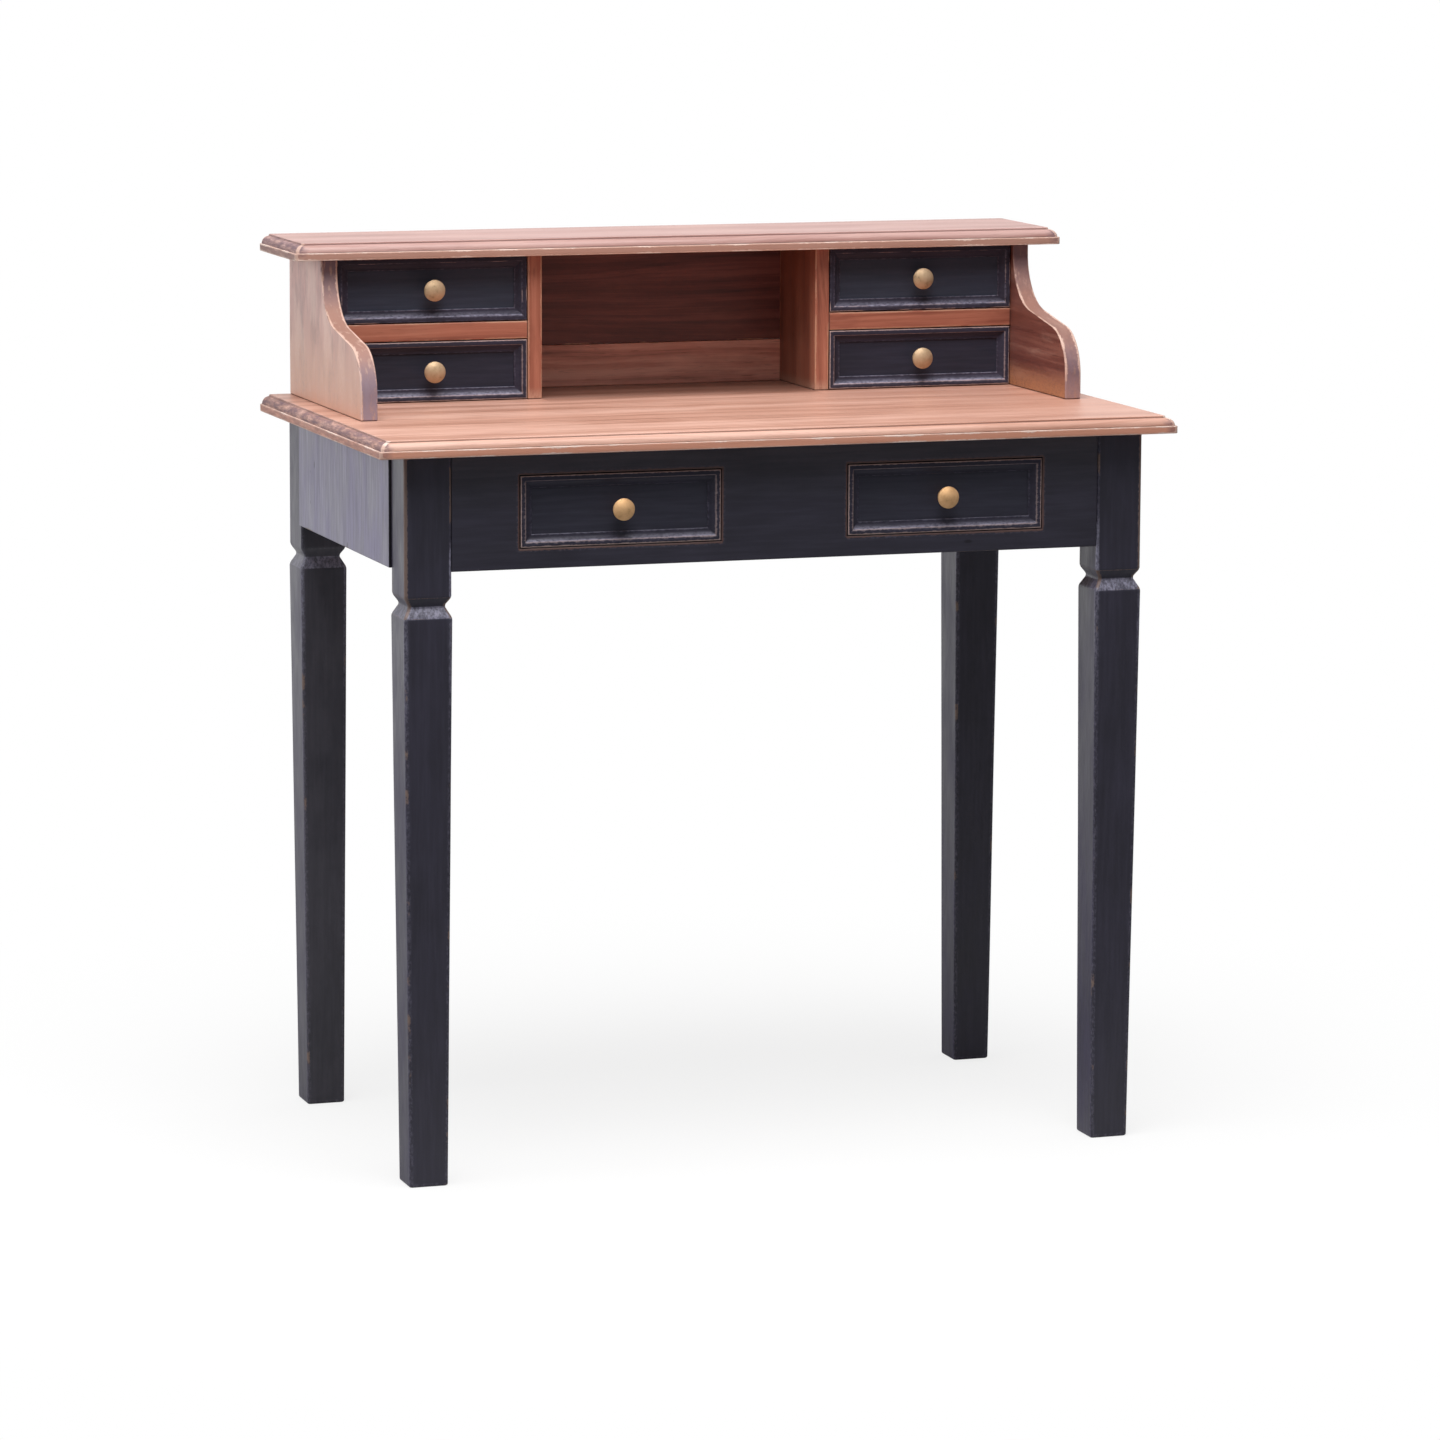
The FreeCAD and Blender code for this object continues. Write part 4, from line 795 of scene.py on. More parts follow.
def waxed_wood(name, along, tones, rubbed, reach, bias, shift, growth=9.0, figure=1.0, smear=0.2,
               blotches=0.25, mottle=(7, 20, 20), blotchy=(0.5, 0.74), dashes=0.06, chip=None,
               sawn=None, band=None, foot=None, niche=None, right_shade=None):
    """Waxed hardwood: three tones by bands and streaks, dirt in hollows, pale smears and rubbed arrises.

    figure is how strongly the grain shows, mottle the scale of smears and blotches, blotchy the noise
    between which they come up. chip is the tone of chipped arrises and band that of a moulding's
    lower band. sawn holds the tones of end grain and of a sawn slope, the least share of them, and the
    scale of their streaks. foot holds the tone of a paler foot, that of the sawn edge there, and two
    heights, between which the paler tone fades; on the hutch sides' outer faces the paler foot is
    painted light. niche holds the half width of a niche, between whose sides the wood is darkened
    towards the back as painted shade, the two places where that starts and ends, and its share.
    right_shade holds a darker tone that the wood takes on towards the right as painted shade, the two
    places between which it does, and its share. Near the crease mark the wood darkens: dirt in joints,
    and painted shade in moulded hollows.
    """
    pale, middle, dark = tones
    finish, tree, surface, place = new_finish(name, along, shift)
    grain = place_group(tree, board_grain, {"Vector": place, "Rings": growth, "Waver": 0.035})
    edge_inputs = {"Vector": place, "Distance": kept_mark(tree, "arris"), "Reach": reach, "Bias": bias}
    edge = place_group(tree, rubbed_edges, edge_inputs)
    chip_inputs = dict(edge_inputs, Reach=CHIP_REACH * reach, Bias=0.45 if chip else 0.6)
    chips = place_group(tree, rubbed_edges, chip_inputs)["Bare"]
    drawn_out = vector_calc(tree, "MULTIPLY", place, DASH_STRETCH)
    dash_inputs = {"Vector": drawn_out, "Cells": 55.0, "Share": dashes, "Size": 0.085}
    dash = place_group(tree, flecks, dash_inputs)["Fleck"]
    tone = calc(tree, "MULTIPLY_ADD", grain["Band"], 0.35, times(tree, grain["Streak"], 0.65))
    wood = mix(tree, remap(tree, tone, 0.45, 0.62, 0.0, figure), middle, pale)
    wood = mix(tree, remap(tree, tone, 0.49, 0.3, 0.0, 0.85 * figure), wood, dark)
    wood = mix(tree, times(tree, grain["Pore"], 0.4), wood, dark)
    apart = vector_calc(tree, "ADD", place, BLOTCH_SHIFT)
    blotch = stretched_noise(tree, apart, mottle, 4, 0.65)
    wood = mix(tree, remap(tree, blotch, *blotchy, 0.0, blotches), wood, dark)
    cloud = stretched_noise(tree, place, mottle, 4, 0.6)
    wood = mix(tree, remap(tree, cloud, *blotchy, 0.0, smear), wood, rubbed)
    wood = mix(tree, times(tree, dash, 0.65), wood, WOOD_DIRT_AND_SHADE)
    spot = add(tree, "SeparateXYZ", {0: add(tree, "TexCoord").outputs["Object"]}).outputs
    # Darker towards the right: painted shade.
    if right_shade is not None:
        right_shade_tone, from_x, to_x, share = right_shade
        wood = mix(tree, remap(tree, spot["X"], from_x, to_x, 0.0, share), wood, right_shade_tone)
    # A paler foot: wear on the dividers, painted light on the hutch sides' outer faces.
    if foot is not None:
        foot_tone, foot_cut, foot_z, fade_z = foot
        low_down = remap(tree, spot["Z"], foot_z, fade_z, 1.0, 0.0)
        paler_foot = times(tree, low_down, remap(tree, edge["Patch"], 0.25, 0.6, 0.35, 1.0))
        wood = mix(tree, paler_foot, wood, foot_tone)
    if band is not None:
        wood = mix(tree, times(tree, kept_mark(tree, "under"), 0.8), wood, band)
    if sawn is not None:
        end_tone, run_tone, least, streaks = sawn
        rough_cut = stretched_noise(tree, place, streaks, 5, 0.7)
        end = times(tree, kept_mark(tree, "sawn"), remap(tree, rough_cut, 0.35, 0.65, 1.0, least))
        cut = mix(tree, kept_mark(tree, "run"), end_tone, run_tone)
        if foot is not None:
            low_cut = remap(tree, spot["Z"], foot_z, foot_z + CUT_FADE, 1.0, 0.0)
            cut = mix(tree, low_cut, cut, foot_cut)
        cut = mix(tree, remap(tree, rough_cut, 0.53, 0.67, 0.0, 0.6), cut, rubbed)
        wood = mix(tree, end, wood, cut)
    # Darker towards the back of a niche: painted shade.
    if niche is not None:
        half_width, from_y, to_y, share = niche
        inside = calc(tree, "LESS_THAN", calc(tree, "ABSOLUTE", spot["X"]), half_width)
        inside = times(tree, inside, calc(tree, "LESS_THAN", spot["Y"], niche_back))
        inside = times(tree, inside, calc(tree, "GREATER_THAN", spot["Z"], niche_floor))
        shade = times(tree, inside, remap(tree, spot["Y"], from_y, to_y, 0.0, share))
        wood = mix(tree, shade, wood, NICHE_SHADE_TINT, "MULTIPLY")
    wood = mix(tree, times(tree, edge["Bare"], 0.7), wood, rubbed)
    wood = mix(tree, times(tree, chips, 0.8), wood, chip or rubbed)
    # Darker near the crease mark: dirt in joints, and painted shade in the moulded hollows.
    dirt_and_shade = remap(tree, kept_mark(tree, "crease"), 0.2, 0.9, 0.85, 0.0)
    rough = calc(tree, "MULTIPLY_ADD", dirt_and_shade, 0.3, remap(tree, grain["Streak"], 0.3, 0.7, 0.35, 0.48))
    if sawn is not None:
        rough = calc(tree, "MULTIPLY_ADD", end, END_DRY, rough)
    relief = calc(tree, "SUBTRACT", times(tree, grain["Streak"], 0.5), grain["Pore"])
    cover(tree, surface, mix(tree, dirt_and_shade, wood, WOOD_DIRT_AND_SHADE), rough, relief, 0.15, PORE_DEPTH)
    return finish


for seed, (node, tones) in enumerate(TOP_TONES_LIT_AND_SHADED.items(), start=20):
    low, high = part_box(node)
    piece = moulded_top("moulded_" + node, low, high, seed)
    # The desk top is darkened towards the back of the niche: painted shade.
    niche = (niche_half, *NICHE_FLOOR_SHADE) if node == "desk_top" else None
    top_wood = waxed_wood(node + "_wood", "x", tones, TOP_RUBBED, 0.6, 0.24, (0, 0.1, -0.6), chip=CHIP_TONE,
                          sawn=(END_GRAIN, END_GRAIN, 0.4, END_STREAKS), band=BAND_TONES[node], niche=niche,
                          right_shade=RIGHT_END_SHADE[node])
    fit(piece, "carcass", node, "top_wood", top_wood)


# Hutch sides. Boards with a scroll sawn on their front edge: a hollow under the head, a straight run
# and a round above the foot. Waxed wood with greyish end grain on the scroll, dowelled to both tops.
# The outer face is a paler, lit copy of the wood and the inner face a darker, shaded copy: painted
# light and painted shade. The outer face also grows paler towards the foot, painted light below the
# shade of the hutch top. The back boards stand a little proud of their edges.
SIDE_EASE = 0.0016
SCROLL_FOOT_RISE = 0.026
SCROLL_HEAD_DROP = 0.008
SCROLL_HOLLOW = 0.062
SCROLL_ROUND = 0.050
HEAD_DEPTH = 0.136
RABBET_STEP = 0.0015
SCROLL_SPACING = 0.0016
SCROLL_EDGE = 1.6
# The outer face's tones are a paler, lit copy and the inner face's a darker, shaded copy of the same wood,
# as are their rubbed tones: painted light and painted shade.
SIDE_TONES_LIT_AND_SHADED = {
    "outer": ("z", (0.80, 0.51, 0.460, 1), (0.66, 0.380, 0.335, 1), (0.38, 0.21, 0.195, 1)),
    "inner": ("y", (0.26, 0.105, 0.078, 1), (0.17, 0.056, 0.042, 1), (0.09, 0.028, 0.021, 1)),
}
SIDE_FIGURE = {
    "outer": {"figure": 0.4, "smear": 0.7, "blotches": 0.8, "mottle": (12, 26, 26),
              "blotchy": (0.44, 0.64), "dashes": 0.9},
    "inner": {"figure": 0.9, "smear": 0.3, "blotches": 0.35, "mottle": (7, 50, 50),
              "blotchy": (0.5, 0.7), "dashes": 0.12},
}
SCROLL_FOOT = (0.330, 0.262, 0.325, 1)
# The sides' paler foot; on the outer faces it is painted light, as the part above lies in the hutch top's
# shade.
PALER_SIDE_FOOT = {
    "outer": ((0.70, 0.400, 0.280, 1), SCROLL_FOOT, 0.785, 0.90),
    "inner": ((0.44, 0.195, 0.095, 1), SCROLL_FOOT, 0.785, 0.812),
}
SIDE_RUBBED = {"outer": (0.84, 0.59, 0.51, 1), "inner": (0.60, 0.40, 0.32, 1)}
SIDE_CHIP = (0.66, 0.44, 0.36, 1)
SCROLL_GRAIN = (0.190, 0.136, 0.165, 1)
SCROLL_RUN = (0.335, 0.172, 0.130, 1)
SCROLL_STREAKS = (60, 170, 45)
SCROLL_GREYED = {"hutch_left_side": 1.0, "hutch_right_side": 0.6}


def scroll_front(heights, low, high):
    """Front edge of a hutch side at each height: foot, round, common tangent, hollow and head.

    The round and the hollow are circles tangent to the upright foot and head; the straight run is the
    inner tangent of both circles, found from the line between their centres.
    """
    head_y = high.y - HEAD_DEPTH
    round_y = low.y + SCROLL_ROUND
    round_z = low.z + SCROLL_FOOT_RISE
    hollow_y = head_y - SCROLL_HOLLOW
    hollow_z = high.z - SCROLL_HEAD_DROP
    gap = math.hypot(hollow_y - round_y, hollow_z - round_z)
    lean = math.atan2(hollow_z - round_z, hollow_y - round_y)
    swing = lean + math.acos((SCROLL_ROUND + SCROLL_HOLLOW) / gap)
    normal_y = math.cos(swing)
    normal_z = math.sin(swing)
    leave = (round_y + SCROLL_ROUND * normal_y, round_z + SCROLL_ROUND * normal_z)
    meet = (hollow_y - SCROLL_HOLLOW * normal_y, hollow_z - SCROLL_HOLLOW * normal_z)
    rise = np.clip(heights - round_z, 0, SCROLL_ROUND)
    on_round = round_y - np.sqrt(SCROLL_ROUND ** 2 - rise ** 2)
    fall = np.clip(hollow_z - heights, 0, SCROLL_HOLLOW)
    on_hollow = hollow_y + np.sqrt(SCROLL_HOLLOW ** 2 - fall ** 2)
    on_run = np.interp(heights, (leave[1], meet[1]), (leave[0], meet[0]))
    front = np.where(heights < leave[1], on_round, np.where(heights > meet[1], on_hollow, on_run))
    return np.where(heights > hollow_z, head_y, front)


def second_finish(piece, way, least):
    """The second finish on the faces whose normals have more than a least share along a way."""
    facing = np.empty((len(piece.data.polygons), 3))
    piece.data.polygons.foreach_get("normal", facing.ravel())
    chosen = facing @ np.array(way, float) > least
    piece.data.polygons.foreach_set("material_index", chosen.astype(np.int32))


side_woods = []
for face, (along, *tones) in SIDE_TONES_LIT_AND_SHADED.items():
    side_woods.append(waxed_wood(
        f"hutch_side_{face}_wood", along, tones, SIDE_RUBBED[face], 1.0, 0.34, (0.3, 0.2, -0.4),
        chip=SIDE_CHIP, sawn=(SCROLL_GRAIN, SCROLL_RUN, 0.8, SCROLL_STREAKS),
        foot=PALER_SIDE_FOOT[face], **SIDE_FIGURE[face]))
for seed, (node, greyed) in enumerate(SCROLL_GREYED.items(), start=30):
    low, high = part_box(node)
    heights = low.z + places_along(high.z - low.z, SIDE_EASE, SCROLL_SPACING)
    front = scroll_front(heights, low, high)
    back = high.y - RABBET_STEP
    rings, arris = bar(heights, (high.x - low.x) / 2, (back - front) / 2, SIDE_EASE, butted=True)
    crease = JOINT_DIRT * np.minimum(rings[..., 2] - low.z, high.z - rings[..., 2])
    rings[..., 0] += (low.x + high.x) / 2
    rings[..., 1] += with_ends((back + front) / 2)[:, None]
    from_edge = rings[..., 1] - with_ends(front)[:, None]
    sawn = greyed * np.clip(SCROLL_EDGE - from_edge / SIDE_EASE, 0, 1)
    run = with_ends(np.clip(np.gradient(front, heights), 0, 1))[:, None] + 0 * sawn
    rings = np.clip(hand_planed(rings, HAND_PLANED, seed), low, high)
    marks = {"arris": IN_MM * arris, "crease": IN_MM * crease, "sawn": sawn, "run": run}
    piece = skin("scrolled_" + node, rings, marks)
    fit(piece, "carcass", node, "hutch_wood", *side_woods)
    second_finish(piece, (-np.sign(low.x), 0, 0), -0.5)


# Dividers and shelves. Upright boards beside the niche and a board between the drawers on each side,
# housed into the uprights. Redder wood than the tops, waxed, with rubbed front edges.
RED_PALE = (0.48, 0.188, 0.120, 1)
RED_MID = (0.39, 0.134, 0.084, 1)
RED_DARK = (0.17, 0.048, 0.032, 1)
RED_RUBBED = (0.54, 0.29, 0.19, 1)
HUTCH_EASE = 0.0012
RED_TONES = (RED_PALE, RED_MID, RED_DARK)
NICHE_WALL_SHADE = (0.115, 0.135, 0.65)
DIVIDER_FOOT = ((0.56, 0.32, 0.23, 1), RED_RUBBED, 0.780, 0.794)
SHELF_ENDS = {"left": ("hutch_left_side", "hutch_left_divider"),
              "right": ("hutch_right_divider", "hutch_right_side")}
# The dividers' faces in the niche darken towards the back: painted shade.
niche = (niche_half + HUTCH_EASE, *NICHE_WALL_SHADE)
divider_wood = waxed_wood("divider_wood", "z", RED_TONES, RED_RUBBED, 0.9, 0.35, (0.7, 0.1, 0.2),
                          blotches=0.5, foot=DIVIDER_FOOT, niche=niche)
shelf_wood = waxed_wood("shelf_wood", "x", RED_TONES, RED_RUBBED, 0.7, 0.4, (0.2, 0.6, 0.1), blotches=0.5)
for hand, divider_seed, shelf_seed in (("left", 40, 45), ("right", 41, 46)):
    node = f"hutch_{hand}_divider"
    piece = board(f"waxed_{hand}_divider", *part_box(node), 2, HUTCH_EASE, divider_seed)
    fit(piece, "carcass", node, "hutch_wood", divider_wood)
    node = f"hutch_{hand}_shelf"
    low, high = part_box(node)
    left_end, right_end = SHELF_ENDS[hand]
    low.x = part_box(left_end)[1].x
    high.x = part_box(right_end)[0].x
    piece = board(f"waxed_{hand}_shelf", low, high, 0, HUTCH_EASE, shelf_seed)
    fit(piece, "carcass", node, "hutch_wood", shelf_wood)


# Back boards. Two boards let into rabbets of the hutch sides, with a seam between them that shows in
# the niche. Inside, the upper one is darker than the lower; behind, both are waxed alike. The inner
# tones carry painted light and shade: the lower board is made paler as painted light against the
# niche's shade, and the upper one darker, partly its own wood and partly painted shade.
# Inner tones of the back boards: the lower one's paler as painted light, the upper one's darker, partly as
# painted shade.
BACK_INNER_TONES_LIGHT_AND_SHADE = {
    "hutch_back_lower": ((0.92, 0.50, 0.400, 1), (0.71, 0.318, 0.246, 1), (0.17, 0.060, 0.048, 1)),
    "hutch_back_upper": ((0.21, 0.072, 0.062, 1), (0.135, 0.040, 0.036, 1), (0.052, 0.016, 0.016, 1)),
}
REAR_TONES = ((0.36, 0.160, 0.112, 1), (0.27, 0.108, 0.074, 1), (0.12, 0.042, 0.030, 1))
BACK_EASE = 0.0009
rear_wood = waxed_wood("hutch_rear_wood", "x", REAR_TONES, RED_RUBBED, 0.4, 0.5, (0.4, 0.3, 0.2),
                       blotches=0.4)
for seed, (node, tones) in enumerate(BACK_INNER_TONES_LIGHT_AND_SHADE.items(), start=50):
    low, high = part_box(node)
    piece = board("waxed_" + node, low, high, 0, BACK_EASE, seed)
    wood = waxed_wood(node + "_wood", "x", tones, RED_RUBBED, 0.4, 0.5, (0.1 * seed, 0.3, 0.2), growth=14.0,
                      smear=0.08)
    fit(piece, "carcass", node, "back_wood", wood, rear_wood)
    second_finish(piece, (0, 1, 0), 0.5)


# Drawers. Each has a painted panel with a mitred moulding pinned round it, worn at every arris, and a
# turned knob of aged brass screwed into the panel. The box behind is bare wood.
HUTCH_DRAWERS = ("hutch_lower_left_drawer", "hutch_lower_right_drawer",
                 "hutch_upper_left_drawer", "hutch_upper_right_drawer")
PANEL_EASE = 0.0006
FRAME_WIDTH = 0.013
FRAME_FLAT = 0.005
FRAME_BEVEL = 0.001
FRAME_LIP = 0.0016
FRAME_EASE = 0.0005
COVE_STEPS = 8
COVE_EDGE = 0.0004
MITRE_EASE = 0.0004
FRAME_STEPS = 12
SHELTER = 6.0
# Copies of the panels' black paint, paler or darker by how light falls: the upper hutch drawers' is paler
# as painted light, the lower ones' darker as painted shade, and the desk drawers' paler than the legs'
# paint as painted light.
PANEL_COATS_LIGHT_AND_SHADE = {
    "desk": ((0.0405, 0.0405, 0.0555, 1), (0.0515, 0.0515, 0.0690, 1)),
    "hutch_upper": ((0.0410, 0.0490, 0.0700, 1), (0.0510, 0.0600, 0.0840, 1)),
    "hutch_lower": ((0.0250, 0.0270, 0.0385, 1), (0.0320, 0.0340, 0.0480, 1)),
}
DRAWER_SHINE = {"desk": 0.2, "hutch_upper": 0.1, "hutch_lower": 0.1}
FRAME_WEAR = {"desk": (0.7, 0.10, 0.45), "hutch_upper": (0.5, 0.45, 0.6), "hutch_lower": (0.5, 0.22, 0.6)}
FRAME_TONES = ((0.30, 0.200, 0.180, 1), (0.66, 0.50, 0.47, 1))
KNOB_DOME = 0.0045
KNOB_RIM = 0.0025
KNOB_FLARE = 0.005
KNOB_NECK = 0.0045
KNOB_FOOT = 0.0065
KNOB_FOOT_THICK = 0.0016
KNOB_SPOKES = 48
DOME_STEPS = 14
FLARE_STEPS = 6
BRASS_METAL = 0.6
# Two copies of the brass: the desk knobs' is paler as painted light, for they sit in the shade of the desk
# top's edge.
BRASS_TONES_LIGHT_AND_SHADE = {
    "desk": ((0.86, 0.540, 0.275, 1), (0.73, 0.435, 0.205, 1)),
    "hutch": ((0.58, 0.420, 0.268, 1), (0.48, 0.340, 0.202, 1)),
}
BRASS_TARNISH = (0.12, 0.085, 0.055, 1)
BOX_PALE = (0.60, 0.42, 0.26, 1)
BOX_DARK = (0.38, 0.23, 0.13, 1)


def drawer_moulding(name, low, high):
    """The section of the frame carried round a rectangle, with mitred corners, as a closed loop.

    Its rows run up the outer edge, over the flat, down a cove to the lip and back along the panel. The
    cove's height above the lip falls as the square of what is left of the way across it. The rows of
    the bottom strip that face up take a paler mark: dust, and a painted highlight.
    """
    thick = high.y - low.y
    ease = FRAME_EASE
    sunk = np.linspace(0, 1, COVE_STEPS)
    cove_from = FRAME_FLAT + COVE_EDGE
    cove_to = FRAME_WIDTH - FRAME_BEVEL
    inset = np.concatenate([
        [0, 0, 0, 0.3 * ease, ease, 0.002, FRAME_FLAT - 2 * COVE_EDGE, FRAME_FLAT],
        cove_from + sunk * (cove_to - cove_from), [FRAME_WIDTH - ease, FRAME_WIDTH, FRAME_WIDTH],
    ])
    height = np.concatenate([
        [0, thick - 0.002, thick - ease, thick - 0.3 * ease, thick, thick, thick, thick - COVE_EDGE / 4],
        FRAME_LIP + (thick - COVE_EDGE - FRAME_LIP) * (1 - sunk) ** 2, [FRAME_LIP, FRAME_LIP - ease, 0],
    ])
    # Dust with a painted highlight on the bottom strip's upward rows.
    dust_and_highlight_rows = np.concatenate([[0, 0, 0, 0, 0, 0, 0.1, 0.7], 0.9 * (1 - sunk) ** 2.5, [0.5, 0.4, 0]])
    sharp = np.array([(0, thick), (cove_from, thick), (FRAME_WIDTH, FRAME_LIP)])
    section = np.stack([inset, height], axis=-1)
    arris = np.maximum(np.linalg.norm(section[:, None] - sharp, axis=-1).min(axis=1) - ease, 0)
    wide = (high.x - low.x) / 2 - inset
    tall = (high.z - low.z) / 2 - inset
    z, x, _ = rounded_rectangle(tall, wide, MITRE_EASE, FRAME_STEPS)
    middle = np.array([(low.x + high.x) / 2, high.y, (low.z + high.z) / 2])
    rings = np.stack([x, -height[:, None] + 0 * x, z], axis=-1) + middle
    outside = np.clip(1.5 - inset / FRAME_FLAT, 0, 1)
    below = z < 0.0006 - tall[:, None]
    sheltered = (z > tall[:, None] - 0.0006) & (inset[:, None] > FRAME_FLAT / 2)
    arris = np.where(sheltered, SHELTER, 1) * arris[:, None]
    marks = {"arris": IN_MM * arris, "outside": outside[:, None] + 0 * x, "dust_and_highlight": dust_and_highlight_rows[:, None] * below}
    return skin(name, rings, marks, loop=True)


def turned_knob(name, low, high, panel_y):
    """A section turned about the knob's axis: dome, rim, flared underside, neck and foot.

    The dome is a cap of a sphere: its reach falls as the root of the sphere's radius squared less
    the distance from the axis squared.
    """
    radius = (high.x - low.x) / 2
    reach = panel_y - low.y
    sphere = (radius ** 2 + KNOB_DOME ** 2) / (2 * KNOB_DOME)
    across = radius * np.sin(np.linspace(0, math.pi / 2, DOME_STEPS))
    dome = reach - sphere + np.sqrt(sphere ** 2 - across ** 2)
    under = reach - KNOB_DOME - KNOB_RIM
    flare = np.linspace(0.1, 1, FLARE_STEPS)
    across = np.concatenate([
        across, [radius, radius - 0.0004, radius - 0.0012],
        np.linspace(radius - 0.003, KNOB_NECK, FLARE_STEPS),
        [KNOB_NECK, KNOB_NECK, KNOB_FOOT - 0.0005, KNOB_FOOT, KNOB_FOOT, 0],
    ])
    away = np.concatenate([
        dome, [under + 0.0004, under, under - 0.0002], under - KNOB_FLARE * flare ** 0.7,
        [under - KNOB_FLARE - 0.001, KNOB_FOOT_THICK, KNOB_FOOT_THICK, KNOB_FOOT_THICK - 0.0005, 0, 0],
    ])
    turn = np.linspace(0, 2 * math.pi, KNOB_SPOKES, endpoint=False)
    level = 0 * turn
    across = across[:, None]
    rings = np.stack([across * np.cos(turn), -away[:, None] + level, across * np.sin(turn)], axis=-1)
    rings = rings + np.array([(low.x + high.x) / 2, panel_y, (low.z + high.z) / 2])
    arris = np.abs(across - radius) + level
    return skin(name, rings, {"arris": IN_MM * arris})


panel_paint = {}
frame_paint = {}
for group, (reach, bias, scuffs) in FRAME_WEAR.items():
    shine = DRAWER_SHINE[group]
    coat = PANEL_COATS_LIGHT_AND_SHADE[group]
    panel_paint[group] = worn_paint(group + "_panel_paint", "x", 0.4, 0.5, 0.12, coat=coat, shine=shine)
    frame_paint[group] = worn_paint(group + "_moulding_paint", "x", reach, bias, 0.2, scuffs=scuffs,
                                    tones=FRAME_TONES, framed=True, shine=shine)

aged_brass = {}
for group, (light, deep) in BRASS_TONES_LIGHT_AND_SHADE.items():
    aged_brass[group], tree, surface, place = new_finish(group + "_aged_brass", "y")
    patina = stretched_noise(tree, place, (120, 120, 120), 4, 0.6)
    scratches = stretched_noise(tree, place, (60, 900, 900), 3, 0.6)
    brass = mix(tree, remap(tree, patina, 0.35, 0.7), light, deep)
    brass = mix(tree, remap(tree, patina, 0.58, 0.8, 0.0, 0.7), brass, BRASS_TARNISH)
    surface.inputs["Metallic"].default_value = BRASS_METAL
    rough = remap(tree, scratches, 0.3, 0.75, 0.55, 0.7)
    cover(tree, surface, brass, rough, scratches, 0.15, 0.0003)

BOX_GRAIN = {"_sides": "y", "_back": "x", "_bottom": "x"}
box_wood = {}
for turn, (tail, along) in enumerate(BOX_GRAIN.items()):
    shift = (0.2, 0.1 * turn, 0.3)
    box_wood[tail] = bare_wood(f"drawer_box{tail}_wood", along, BOX_PALE, BOX_DARK, 0.7, shift)
for seed, drawer in enumerate(DESK_DRAWERS + HUTCH_DRAWERS, start=60):
    group = drawer.rsplit("_", 2)[0]
    low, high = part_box(drawer + "_front")
    panel_y = low.y
    panel = board(drawer + "_panel", low, high, 0, PANEL_EASE, seed, butted=False)
    fit(panel, drawer, drawer + "_front", "black_paint", panel_paint[group])
    moulding = drawer_moulding(drawer + "_frame", *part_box(drawer + "_moulding"))
    fit(moulding, drawer, drawer + "_moulding", "black_paint", frame_paint[group])
    knob = turned_knob(drawer + "_turned_knob", *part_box(drawer + "_knob"), panel_y)
    fit(knob, drawer, drawer + "_knob", "aged_brass", aged_brass[drawer.split("_")[0]])
    for tail, finish in box_wood.items():
        refinish(drawer + tail, finish)


# Studio. A plain pale floor that is greyer out in front, a room that is white behind and dimmer in
# front, and two soft lamps: a large one overhead and a weak one on the left.
FLOOR_HALF = 40.0
FLOOR_WHITE = (0.88, 0.88, 0.88, 1)
FLOOR_BOUNCE = (0.50, 0.50, 0.50, 1)
FLOOR_GREY = (0.22, 0.22, 0.23, 1)
FLOOR_SHADE = 0.22
SHADE_FROM = 0.35
SHADE_TO = 1.3
GREY_FROM = -0.25
GREY_FULL = -0.9
GLOW_FROM = 0.8
GLOW_FULL = 3.8
ROOM_BACK = 1.0
ROOM_FRONT = 0.30
ROOM_FILL = 0.58
ROOM_TURN = (-0.7, 0.25)
LAMPS = (
    ("overhead_lamp", (-0.4, -1.1, 3.6), 2.4, 125.0),
    ("left_lamp", (-3.6, -0.6, 1.9), 2.0, 24.0),
)
LAMP_AIM = Vector((0, 0, 0.65))

floor_mesh = bpy.data.meshes.new("floor")
corners = [(x * FLOOR_HALF, y * FLOOR_HALF, 0) for x, y in ((-1, -1), (1, -1), (1, 1), (-1, 1))]
floor_mesh.from_pydata(corners, [], [(0, 1, 2, 3)])
floor = placed("floor", floor_mesh)
floor_finish = bpy.data.materials.new("floor")
floor_finish.use_nodes = True
tree = floor_finish.node_tree
tree.nodes.clear()
place = add(tree, "TexCoord").outputs["Object"]
seen = add(tree, "LightPath").outputs
mirrored = calc(tree, "MAXIMUM", seen["Is Glossy Ray"], seen["Is Transmission Ray"])
back_way = add(tree, "SeparateXYZ", {0: place}).outputs["Y"]
unseen = mix(tree, remap(tree, back_way, GREY_FULL, GREY_FROM), FLOOR_GREY, FLOOR_BOUNCE)
lit = add(tree, "BsdfDiffuse", {"Color": mix(tree, seen["Is Camera Ray"], unseen, FLOOR_WHITE)}).outputs[0]
white = add(tree, "Emission", {"Color": (1, 1, 1, 1), "Strength": 1.0}).outputs[0]
from_object = add(tree, "VectorMath", {0: place}, operation="LENGTH").outputs["Value"]
open_floor = remap(tree, from_object, SHADE_FROM, SHADE_TO, 1 - FLOOR_SHADE, 1.0)
lift = times(tree, open_floor, seen["Is Camera Ray"])
glow = times(tree, mirrored, remap(tree, back_way, GLOW_FROM, GLOW_FULL))
surface = add(tree, "MixShader", {0: calc(tree, "MAXIMUM", lift, glow), 1: lit, 2: white}).outputs[0]
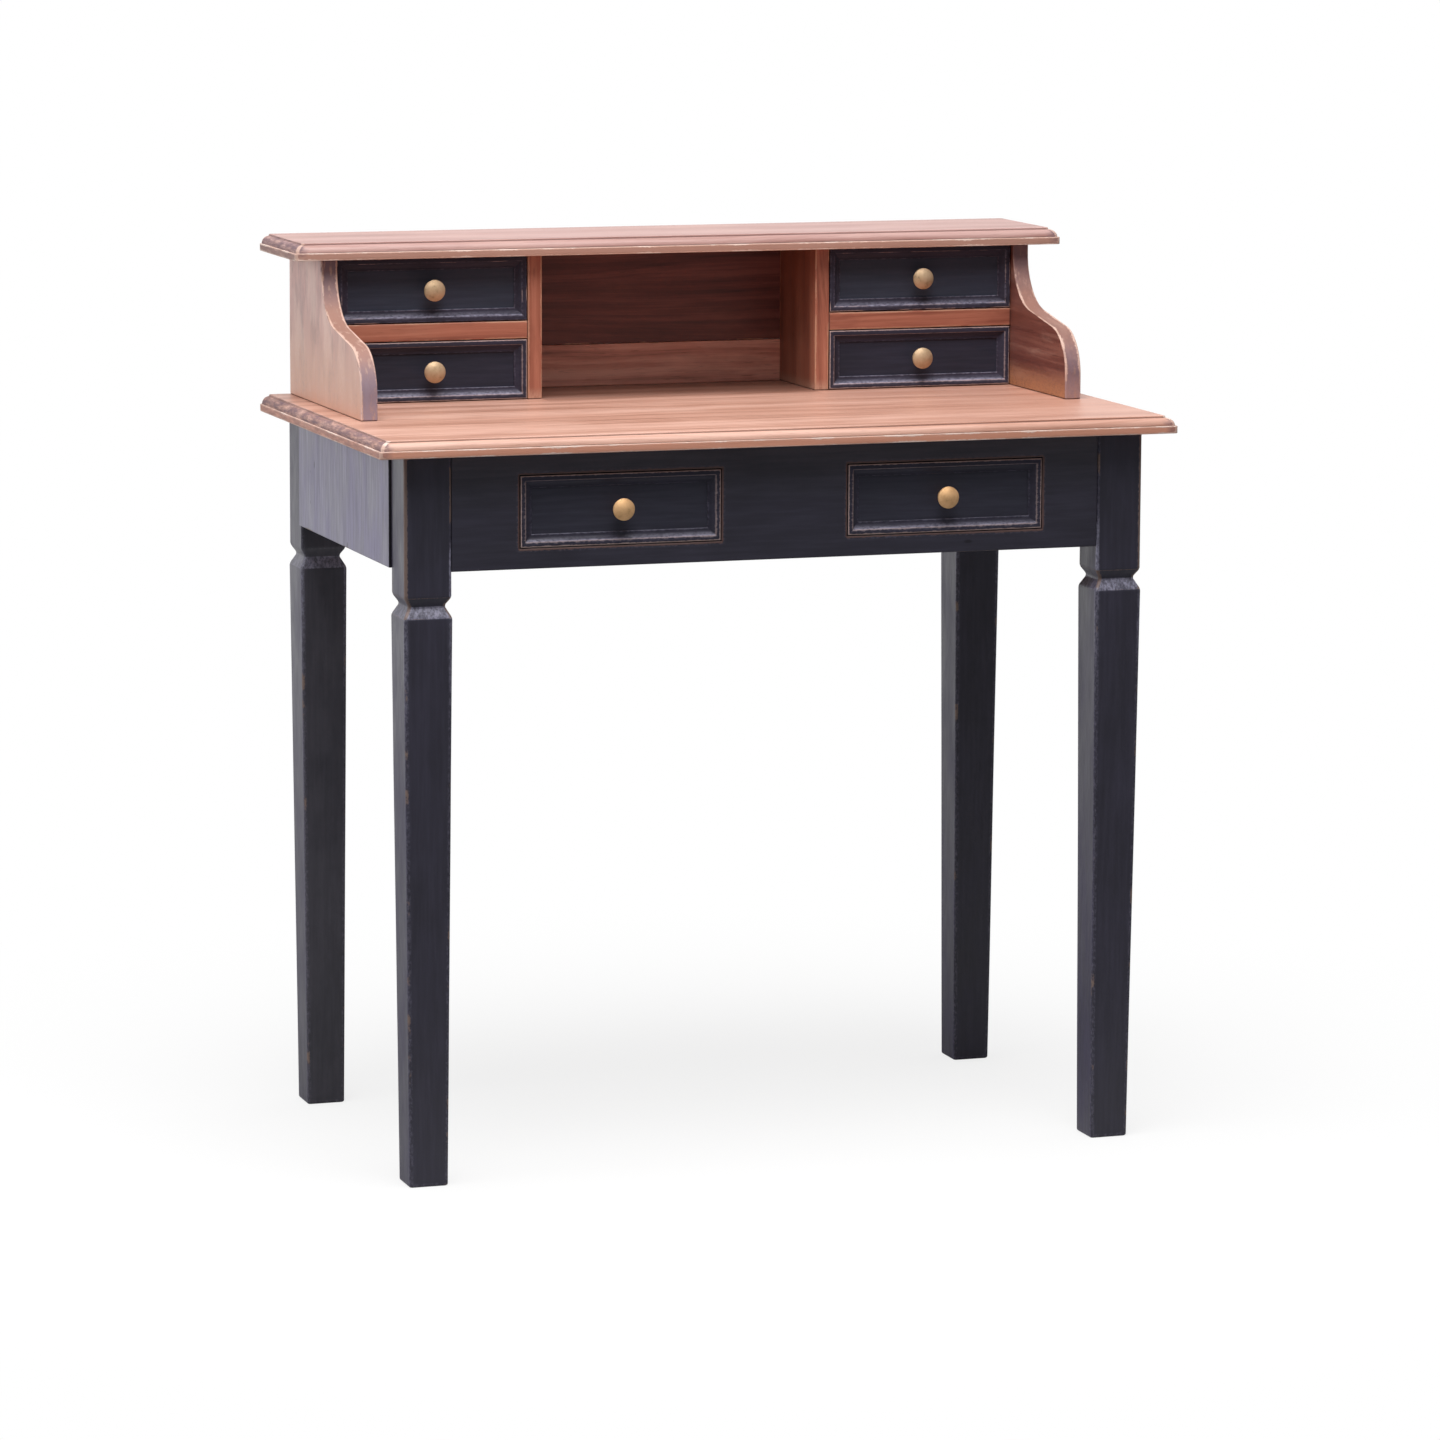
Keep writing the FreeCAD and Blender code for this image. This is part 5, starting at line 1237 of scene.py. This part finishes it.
tree.links.new(surface, add(tree, "OutputMaterial").inputs["Surface"])
floor_mesh.materials.append(floor_finish)

world = bpy.data.worlds.new("white_room")
bpy.context.scene.world = world
world.use_nodes = True
tree = world.node_tree
tree.nodes.clear()
seen = add(tree, "LightPath").outputs
mirrored = calc(tree, "MAXIMUM", seen["Is Glossy Ray"], seen["Is Transmission Ray"])
back_way = add(tree, "SeparateXYZ", {0: add(tree, "TexCoord").outputs["Generated"]}).outputs["Y"]
room = remap(tree, back_way, *ROOM_TURN, ROOM_FRONT, ROOM_BACK)
dimmed = times(tree, room, add(tree, "MapRange", {"Value": mirrored, "To Min": ROOM_FILL}).outputs[0])
strength = calc(tree, "MAXIMUM", dimmed, seen["Is Camera Ray"])
backdrop = add(tree, "Background", {"Color": (1, 1, 1, 1), "Strength": strength}).outputs[0]
tree.links.new(backdrop, add(tree, "OutputWorld").inputs["Surface"])

for name, place, size, power in LAMPS:
    lamp = bpy.data.lights.new(name, "AREA")
    lamp.shape = "DISK"
    lamp.size = size
    lamp.energy = power
    holder = placed(name, lamp)
    holder.location = place
    holder.rotation_euler = (LAMP_AIM - Vector(place)).to_track_quat("-Z", "Y").to_euler()


# Camera. Fitted to the photograph's outlines: a long lens, from the left and a little above, that takes
# a square picture.
CAMERA_PLACE = Vector((-2.0366, -6.0568, 1.4542))
CAMERA_YAW = math.radians(18.669)
CAMERA_PITCH = math.radians(9.026)
CAMERA_ROLL = math.radians(-0.241)
PICTURE_SIDE = 1440
FOCAL_PIXELS = 6000
SENSOR_WIDTH = 36.0
CAMERA_REACH = 200.0
level_way = math.cos(CAMERA_PITCH)
ahead = Vector((math.sin(CAMERA_YAW) * level_way, math.cos(CAMERA_YAW) * level_way,
                -math.sin(CAMERA_PITCH)))
level = Vector((math.cos(CAMERA_YAW), -math.sin(CAMERA_YAW), 0))
down = ahead.cross(level)
right = level * math.cos(CAMERA_ROLL) + down * math.sin(CAMERA_ROLL)
down = down * math.cos(CAMERA_ROLL) - level * math.sin(CAMERA_ROLL)
camera = bpy.data.cameras.new("camera")
camera.sensor_width = SENSOR_WIDTH
camera.lens = FOCAL_PIXELS / PICTURE_SIDE * SENSOR_WIDTH
camera.clip_end = CAMERA_REACH
viewer = placed("camera", camera)
turned = Matrix((right, -down, -ahead)).transposed().to_4x4()
viewer.matrix_world = Matrix.Translation(CAMERA_PLACE) @ turned
bpy.context.scene.camera = viewer
bpy.context.scene.view_settings.view_transform = "Standard"
